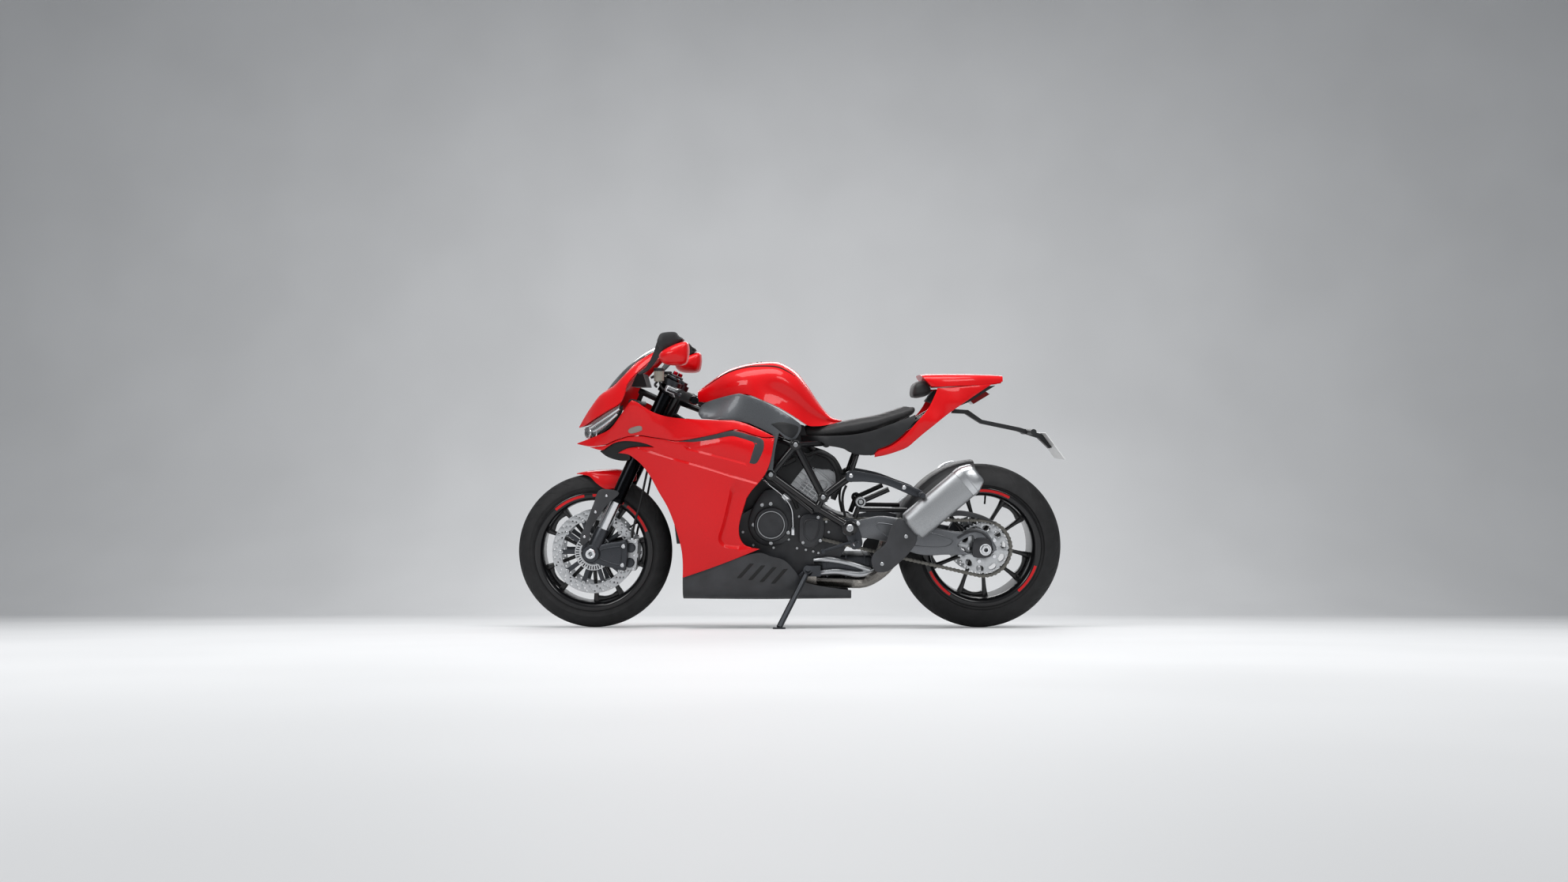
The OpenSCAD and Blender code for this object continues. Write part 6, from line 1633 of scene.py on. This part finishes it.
def mufflerPieces():
    rise = math.radians(muffler["rise"])
    way, over = (math.cos(rise), 0, math.sin(rise)), (-math.sin(rise), 0, math.cos(rise))
    at = frameAt(muffler["base"], over, (0, -1, 0), way)
    turns = np.linspace(0, 2 * math.pi, 64, endpoint=False)
    c, s = np.cos(turns), np.sin(turns)
    c, s = np.sign(c) * np.abs(c) ** muffler["power"], np.sign(s) * np.abs(s) ** muffler["power"]

    def sleeve(sections, caps=True):
        return placed(loft([np.stack([c * muffler["high"] * k, s * muffler["wide"] * k,
                                      np.full(64, float(h))], 1)
                            for h, k in sections], caps), at)
    addSides("silencerSleeves", sleeve(muffler["sleeve"]), silencerSteel, "root", "silencer_metal",
             ["silencers"], 35)
    addSides("silencerCaps", joined([sleeve(muffler["band"], False), sleeve(muffler["cap"], False)]),
             endCapSteel, "root", "silencer_metal", (), 35)
    outlet = placed(joined([lathe(muffler["outlet"], 48), lathe([(30, 262), (0.01, 262)], 48)]), at)
    lip = sleeve([(311, 0.66), (308, 0.6)], False)
    addSides("silencerOutlets", joined([outlet, lip]), blackCasting, "root", "gloss_black", (), 35)
    face = [(x, z) for x, z in muffler["shield"]]

    def bulge(x, z):  # the shield swells by 7 mm round its middle
        away = (x - 395) ** 2 + (z - 345) ** 2
        return muffler["shieldAt"] - 7 + 7 * np.exp(-away / (2 * 75.0 ** 2))
    shield = skinPanel(closedCurve(face, 7), bulge, 6, 3, 12)
    addSides("silencerShields", shield, charcoalPlastic, "root", "black_plastic", ["silencer_shields"])
    bolts = [placed(boltHead(7, 5), leftFace((x, -float(bulge(x, z)) + 1, z))) for x,
             z in muffler["shieldBolts"]]
    addSides("silencerBolts", joined(bolts), discSteel, "root", "disc_steel", (), 30)
    spot, size = muffler["collector"]
    seams = [shifted(roundedBox((7, size[1] + 5, size[2] + 5), 2.5), spot[0] + x, spot[1],
                     spot[2]) for x in (-72, 0, 72)]
    addPiece("exhaustCollector", joined([shifted(roundedBox(size, 16, 3), *spot)] + seams), darkMetal, "root",
             "dark_metal")
    links = [tube(smoothPath(path, 40), 12, 20) for path in muffler["links"]]
    addSides("exhaustLinks", joined(links), discSteel, "root", "disc_steel")


mufflerPieces()


# Hangers and rests for the feet
rests = {
    "pillion": [(225, 610), (240, 618), (256, 620), (360, 600), (440, 571), (507, 545), (511, 533),
                (508, 524), (480, 522),
                (375, 565), (300, 577), (228, 580)], "pillionFace": 192.5,
    "hanger": [(210, 420), (225, 440), (258, 430), (285, 350), (270, 325), (240, 330)], "hangerFace": 175.5,
    "peg": {"at": (262.5, 345), "r": 11, "from": 175, "to": 268},
    "pillionPeg": {"at": (501.7, 530.6), "r": 10, "from": 192, "to": 280},
    "lever": [(241, 350), (190, 333), (135, 316)],
}


def pegShape(peg, ribs):
    r = peg["r"]
    profile = [(r * 0.8, 0)]
    span = peg["to"] - peg["from"]
    for k in range(ribs):
        h = span * (0.2 + 0.74 * k / ribs)
        profile += [(r * 0.84, h), (r, h + 1), (r, h + span * 0.74 / ribs * 0.5),
                    (r * 0.84, h + span * 0.74 / ribs * 0.62)]
    profile += [(r * 0.84, span * 0.95), (r * 1.05, span * 0.96), (r * 0.95, span), (0.01, span)]
    return placed(lathe(profile, 28), leftFace((peg["at"][0], -peg["from"], peg["at"][1])))


def restPieces():
    pillion = flatPlate(closedCurve(rests["pillion"], 8), rests["pillionFace"], 10, 3.5, (), 40)
    addSides("pillionHangers", joined([pillion, pegShape(rests["pillionPeg"], 12)]), darkMetal, "root",
             "dark_metal", ["pillion_hangers"], 35)
    hanger = flatPlate(closedCurve(rests["hanger"], 7), rests["hangerFace"], 10, 3,
                       [circleOutline(235.5, 405, 17, 28)], 40)
    lever = tube([(x, -172, z) for x, z in smoothPath(rests["lever"], 16)], np.linspace(7, 5, 16), 12)
    tip = {"at": (135, 316), "r": 8, "from": 170, "to": 214}
    addSides("footrests", joined([hanger, lever, pegShape(rests["peg"], 13), pegShape(tip, 6)]), darkMetal,
             "root", "dark_metal", ["footrests"], 35)
    spots = [(240, 600, 192.5), (256, 342, 175.5), (268, 420, 175.5), (224, 424, 175.5), (440, 556, 192.5)]
    bolts = [placed(boltHead(8, 6), leftFace((x, -y, z))) for x, z, y in spots]
    addSides("hangerBolts", joined(bolts), chromedSteel, "root", "bright_steel", (), 30)


restPieces()
print("exhaust and rests made")


# Fork: tubes with seals and caps, feet with pinch bolts, guards, calipers and hoses
forkLeg = {
    "half": 105, "guardFace": 137.6, "footFace": 121, "footThick": 36.5, "axle": (-750, 300),
    "foot": [(-14.8, -23.6), (106, -62), (132.8, -56), (138.6, 41.3), (112, 47.2), (14.8, 26.5)],
    "footPocket": [(34, -18), (96, -42), (112, -34), (116, 20), (100, 26), (36, 12)],
    "guard": [(37.5, 245), (109.5, 233), (57, 180), (9, 107), (0, 84), (-7.5, 50), (-33, 32), (-39, 66),
              (-22.5, 102),
              (10.5, 187)],
    "guardBolts": [(-22, 66), (20, 160), (62, 222)],
    "hose": [(-598.7, -74.8, 348.8), (-596, -82, 372), (-582, -100, 430), (-564, -106, 490),
             (-549, -100, 560),
             (-534, -89, 635), (-517, -75, 705), (-507, -63, 755), (-506, -60, 786)],
}
caliper = {"angle": -4, "r": 147.5, "size": (50, 118), "outer": (61.6, 83.4), "inner": (31.6, 53.4)}


def forkShapes():
    tubes, chrome, caps, knobs = [], [], [], []
    tubes.append(lathe([(22.3, 219), (27.5, 219), (28.8, 221), (28.8, 236), (27, 239), (27, 738),
                        (22.3, 738)], 56))
    chrome.append(lathe([(22, 105.5), (22, 224)], 56))
    caps.append(lathe([(23, 738), (25.5, 738.4), (25.5, 744), (22, 747), (0.01, 747)], 48))
    caps.append(lathe([(17, 746), (17, 753), (15.5, 754.5), (0.01, 754.5)], 6))
    knobs.append(lathe([(9.5, 754), (9.5, 766), (8, 768), (0.01, 768)], 24))
    for shapes, finish, name, slot, nodes in (
            (tubes, forkBlack, "forkTubes", "fork_black", ["fork_tubes"]),
            (chrome, chromedSteel, "forkSliders", "bright_steel", ["fork_sliders"]),
            (caps, darkMetal, "forkCaps", "dark_metal", ()),
            (knobs, redAnodised, "forkAdjusters", "dark_metal", ())):
        leg = placed(shifted(joined(shapes), 0, -forkLeg["half"], 0), fork)
        addSides(name, leg, finish, "steering", slot, nodes, 35)


def footShapes():
    ax, az = forkLeg["axle"]
    at = np.array([ax, az])
    plate = flatPlate(closedCurve(np.array(forkLeg["foot"]) + at, 7), forkLeg["footFace"],
                      forkLeg["footThick"], 7,
                      [circleOutline(ax, az, 12.8, 32)], 40)
    bead = np.array([(x, -forkLeg["footFace"], z) for x,
                     z in closedCurve(np.array(forkLeg["footPocket"]) + at, 7)])
    bead = tube(np.vstack([bead, bead[:2]]), 2.6, 8)
    collar = placed(lathe([(13, 72.5), (31, 72.5), (34, 76), (34, 128), (31, 132), (13, 132), (13, 72.5)],
                          48), frontWheel)
    post = placed(shifted(lathe([(23, 20), (26, 20), (26, 99), (24, 105), (22.2, 105)], 40), 0,
                          -forkLeg["half"], 0), fork)
    addSides("forkFeet", joined([plate, bead, collar, post]), darkMetal, "steering", "dark_metal",
             ["fork_feet"], 35)
    bolts = [placed(boltHead(6, 6), frameAt((ax + 20 + 22 * k, -100 - 2 * k, az - 36 - 6 * k), (1, 0, 0),
                                            (0, 1, 0), (0, 0, -1)))
             for k in (0, 1)]
    bolts += [placed(boltHead(8, 7), leftFace((ax + x, -forkLeg["footFace"], az + z))) for x,
              z in ((124, 28), (120, -44))]
    bolts += [placed(boltHead(5, 4), leftFace((ax + x, -forkLeg["guardFace"], az + z))) for x,
              z in forkLeg["guardBolts"]]
    nut = ring([(8.2, 0), (19, 0), (19, 3), (17, 5), (11, 5), (10, 3), (8.2, 3)], 40)
    bolts.append(placed(nut, leftFace((ax, -134, az))))
    addSides("forkBolts", joined(bolts), chromedSteel, "steering", "bright_steel", (), 30)
    guard = flatPlate(closedCurve(np.array(forkLeg["guard"]) + at, 7), forkLeg["guardFace"], 5, 2.2, (), 30)
    addSides("forkGuards", guard, charcoalPlastic, "steering", "dark_metal", ["fork_guards"], 40)


def caliperShapes():
    a = math.radians(caliper["angle"])
    r, (deep, tall) = caliper["r"], caliper["size"]
    ax, az = forkLeg["axle"]
    middle = (ax + r * math.cos(a), 0, az + r * math.sin(a))
    at = frameAt(middle, (math.cos(a), 0, math.sin(a)), (0, 1, 0), (-math.sin(a), 0, math.cos(a)))
    body, dark, bright = [], [], []
    for low, high in (caliper["outer"], caliper["inner"]):
        body.append(shifted(roundedBox((deep, high - low, tall), 6, 3), 0, -(low + high) / 2, 0))
    body.append(shifted(roundedBox((8.5, 52, tall - 26), 3), deep / 2 - 4.2, -57.5, 0))
    body.append(shifted(roundedBox((12, 48, 16), 3), deep / 2 - 2, -57.5, 0))
    face = caliper["outer"][1]
    for z in (-29, 29):
        dark.append(placed(lathe([(19, -3), (19, 4), (16, 8), (12, 9), (0.01, 9)], 36),
                           leftFace((-2, -face, z))))
    for z in (-52, 0, 52):
        bright.append(placed(boltHead(5, 4), leftFace((14, -face, z))))
    bright.append(placed(tube([(4, -74, 56), (4, -74, 66)], 5.5, 12), np.eye(4)))
    bright.append(placed(lathe([(8, 0), (8, 7), (6, 8), (0.01, 8)], 6),
                         frameAt((0, -74.8, 58.5), (1, 0, 0), (0, 1, 0), (0, 0, 1))))
    addSides("calipers", placed(joined(body), at), castAluminium, "steering", "dark_metal",
             ["front_calipers"], 35)
    addSides("caliperPistons", placed(joined(dark), at), darkMetal, "steering", "dark_metal", (), 35)
    addSides("caliperBolts", placed(joined(bright), at), chromedSteel, "steering", "bright_steel", (), 30)
    hose = tube(smoothPath(forkLeg["hose"], 64), 4.5, 12)
    addSides("brakeHoses", hose, hoseRubber, "steering", "grip_rubber", ["brake_hoses"])


forkShapes()
footShapes()
caliperShapes()
print("fork made")


# Controls on each bar: ribbed grip, bar end, switches, lever, and the reservoirs
controls = {
    "at": (0, -105, 691), "sweep": 26, "droop": -2, "grip": (155.8, 280.6), "gripR": 17, "ribs": 26,
    "lever": [(-12, 0, 138), (-42, -2, 150), (-58, -3, 166), (-61, -3, 200), (-57, -3, 240), (-51, -3, 270)],
    "reservoir": {"at": (-486, -160, 956), "r": 19, "h": 50},
}


def controlPieces():
    sweep, tip = math.radians(controls["sweep"]), math.radians(90 + controls["droop"])
    turnX = np.array([[1, 0, 0], [0, math.cos(tip), -math.sin(tip)], [0, math.sin(tip), math.cos(tip)]])
    turnZ = np.array([[math.cos(sweep), -math.sin(sweep), 0], [math.sin(sweep), math.cos(sweep), 0],
                      [0, 0, 1]])
    local = np.eye(4)
    local[:3, :3], local[:3, 3] = turnZ @ turnX, controls["at"]
    bar = fork @ local
    low, high = controls["grip"]
    r = controls["gripR"]
    profile = [(11.4, low), (r + 3, low), (r + 3, low + 3), (r - 1.6, low + 5)]
    pitch = (high - low - 14) / controls["ribs"]
    for k in range(controls["ribs"]):
        h = low + 8 + pitch * k
        profile += [(r - 1.4, h), (r, h + pitch * 0.25), (r, h + pitch * 0.6), (r - 1.4, h + pitch * 0.85)]
    profile += [(r - 1, high - 4), (r, high - 2), (r - 1, high), (11.4, high)]
    addSides("grips", placed(lathe(profile, 36), bar), gripRubber, "steering", "grip_rubber", ["grips"], 50)
    weight = lathe([(11, 281), (15.5, 281), (16, 283), (16, 298), (13, 303), (0.01, 303)], 36)
    rod = lathe([(11, 30), (11, 281)], 32)
    clamp = placed(shifted(lathe([(27.3, 675), (34, 675), (36, 678), (36, 704), (34, 707), (27.3, 707)], 48),
                           0, -forkLeg["half"], 0), fork)
    addSides("clipOns", joined([placed(joined([weight, rod]), bar), clamp]), forkBlack, "steering",
             "fork_black",
             ["handlebars"], 35)
    switch = [shifted(roundedBox((40, 38, 34), 7, 3), 0, 0, 98),
              shifted(roundedBox((12, 14, 10), 3), 22, 6, 96)]
    switch.append(placed(lathe([(11.3, 121.6), (18, 121.6), (19, 123), (19, 154), (18, 155.4), (11.3, 155.4)],
                               32), np.eye(4)))
    bracket = [shifted(roundedBox((52, 24, 22), 6, 3), -28, 2, 118),
               shifted(roundedBox((22, 34, 26), 7, 3), -6, 0, 120)]
    addSides("leverBrackets", placed(joined(bracket), bar), castAluminium, "steering", "cast_aluminium", (),
             35)
    addSides("switchGear", placed(joined(switch), bar), blackPlastic, "steering", "black_plastic", (), 35)
    lever = blade(controls["lever"], [14, 13, 14, 13, 11, 10], [10, 9, 8, 7, 7, 8], (0, 1, 0))
    knob = shifted(lathe([(0.01, -7), (5, -5), (7, 0), (5, 5), (0.01, 7)], 20), *controls["lever"][-1])
    addSides("levers", placed(joined([lever, knob]), bar), darkMetal, "steering", "fork_black", ["levers"],
             35)
    cup = controls["reservoir"]
    x, y, z = cup["at"]
    pot = lathe([(0.01, 0), (cup["r"] - 4, 0), (cup["r"], 4), (cup["r"], cup["h"] - 10),
                 (cup["r"] - 1, cup["h"] - 9), (0.01, cup["h"] - 9)], 36)
    lid = lathe([(cup["r"] + 1, cup["h"] - 10), (cup["r"] + 1.5, cup["h"] - 8), (cup["r"] + 1.5, cup["h"]),
                 (cup["r"] - 2, cup["h"] + 2),
                 (0.01, cup["h"] + 2)], 36)
    addSides("reservoirs", shifted(pot, x, y, z), reservoirPlastic, "steering", "lamp_lens", (), 40)
    stay = [tube(smoothPath([(x + 2, y + 4, z + 2), (x + 6, y + 6, z - 16), (x + 16, y + 10, z - 30)], 12), 4,
                 10)]
    stay.append(tube(smoothPath([(x - 6, y, z + 1), (x - 14, y - 12, z - 12), (x - 6, y - 36, z - 20)], 14),
                     4.5, 10))
    addSides("reservoirLids", joined([shifted(lid, x, y, z)] + stay), blackPlastic, "steering",
             "black_plastic", (), 40)


controlPieces()
print("controls made")
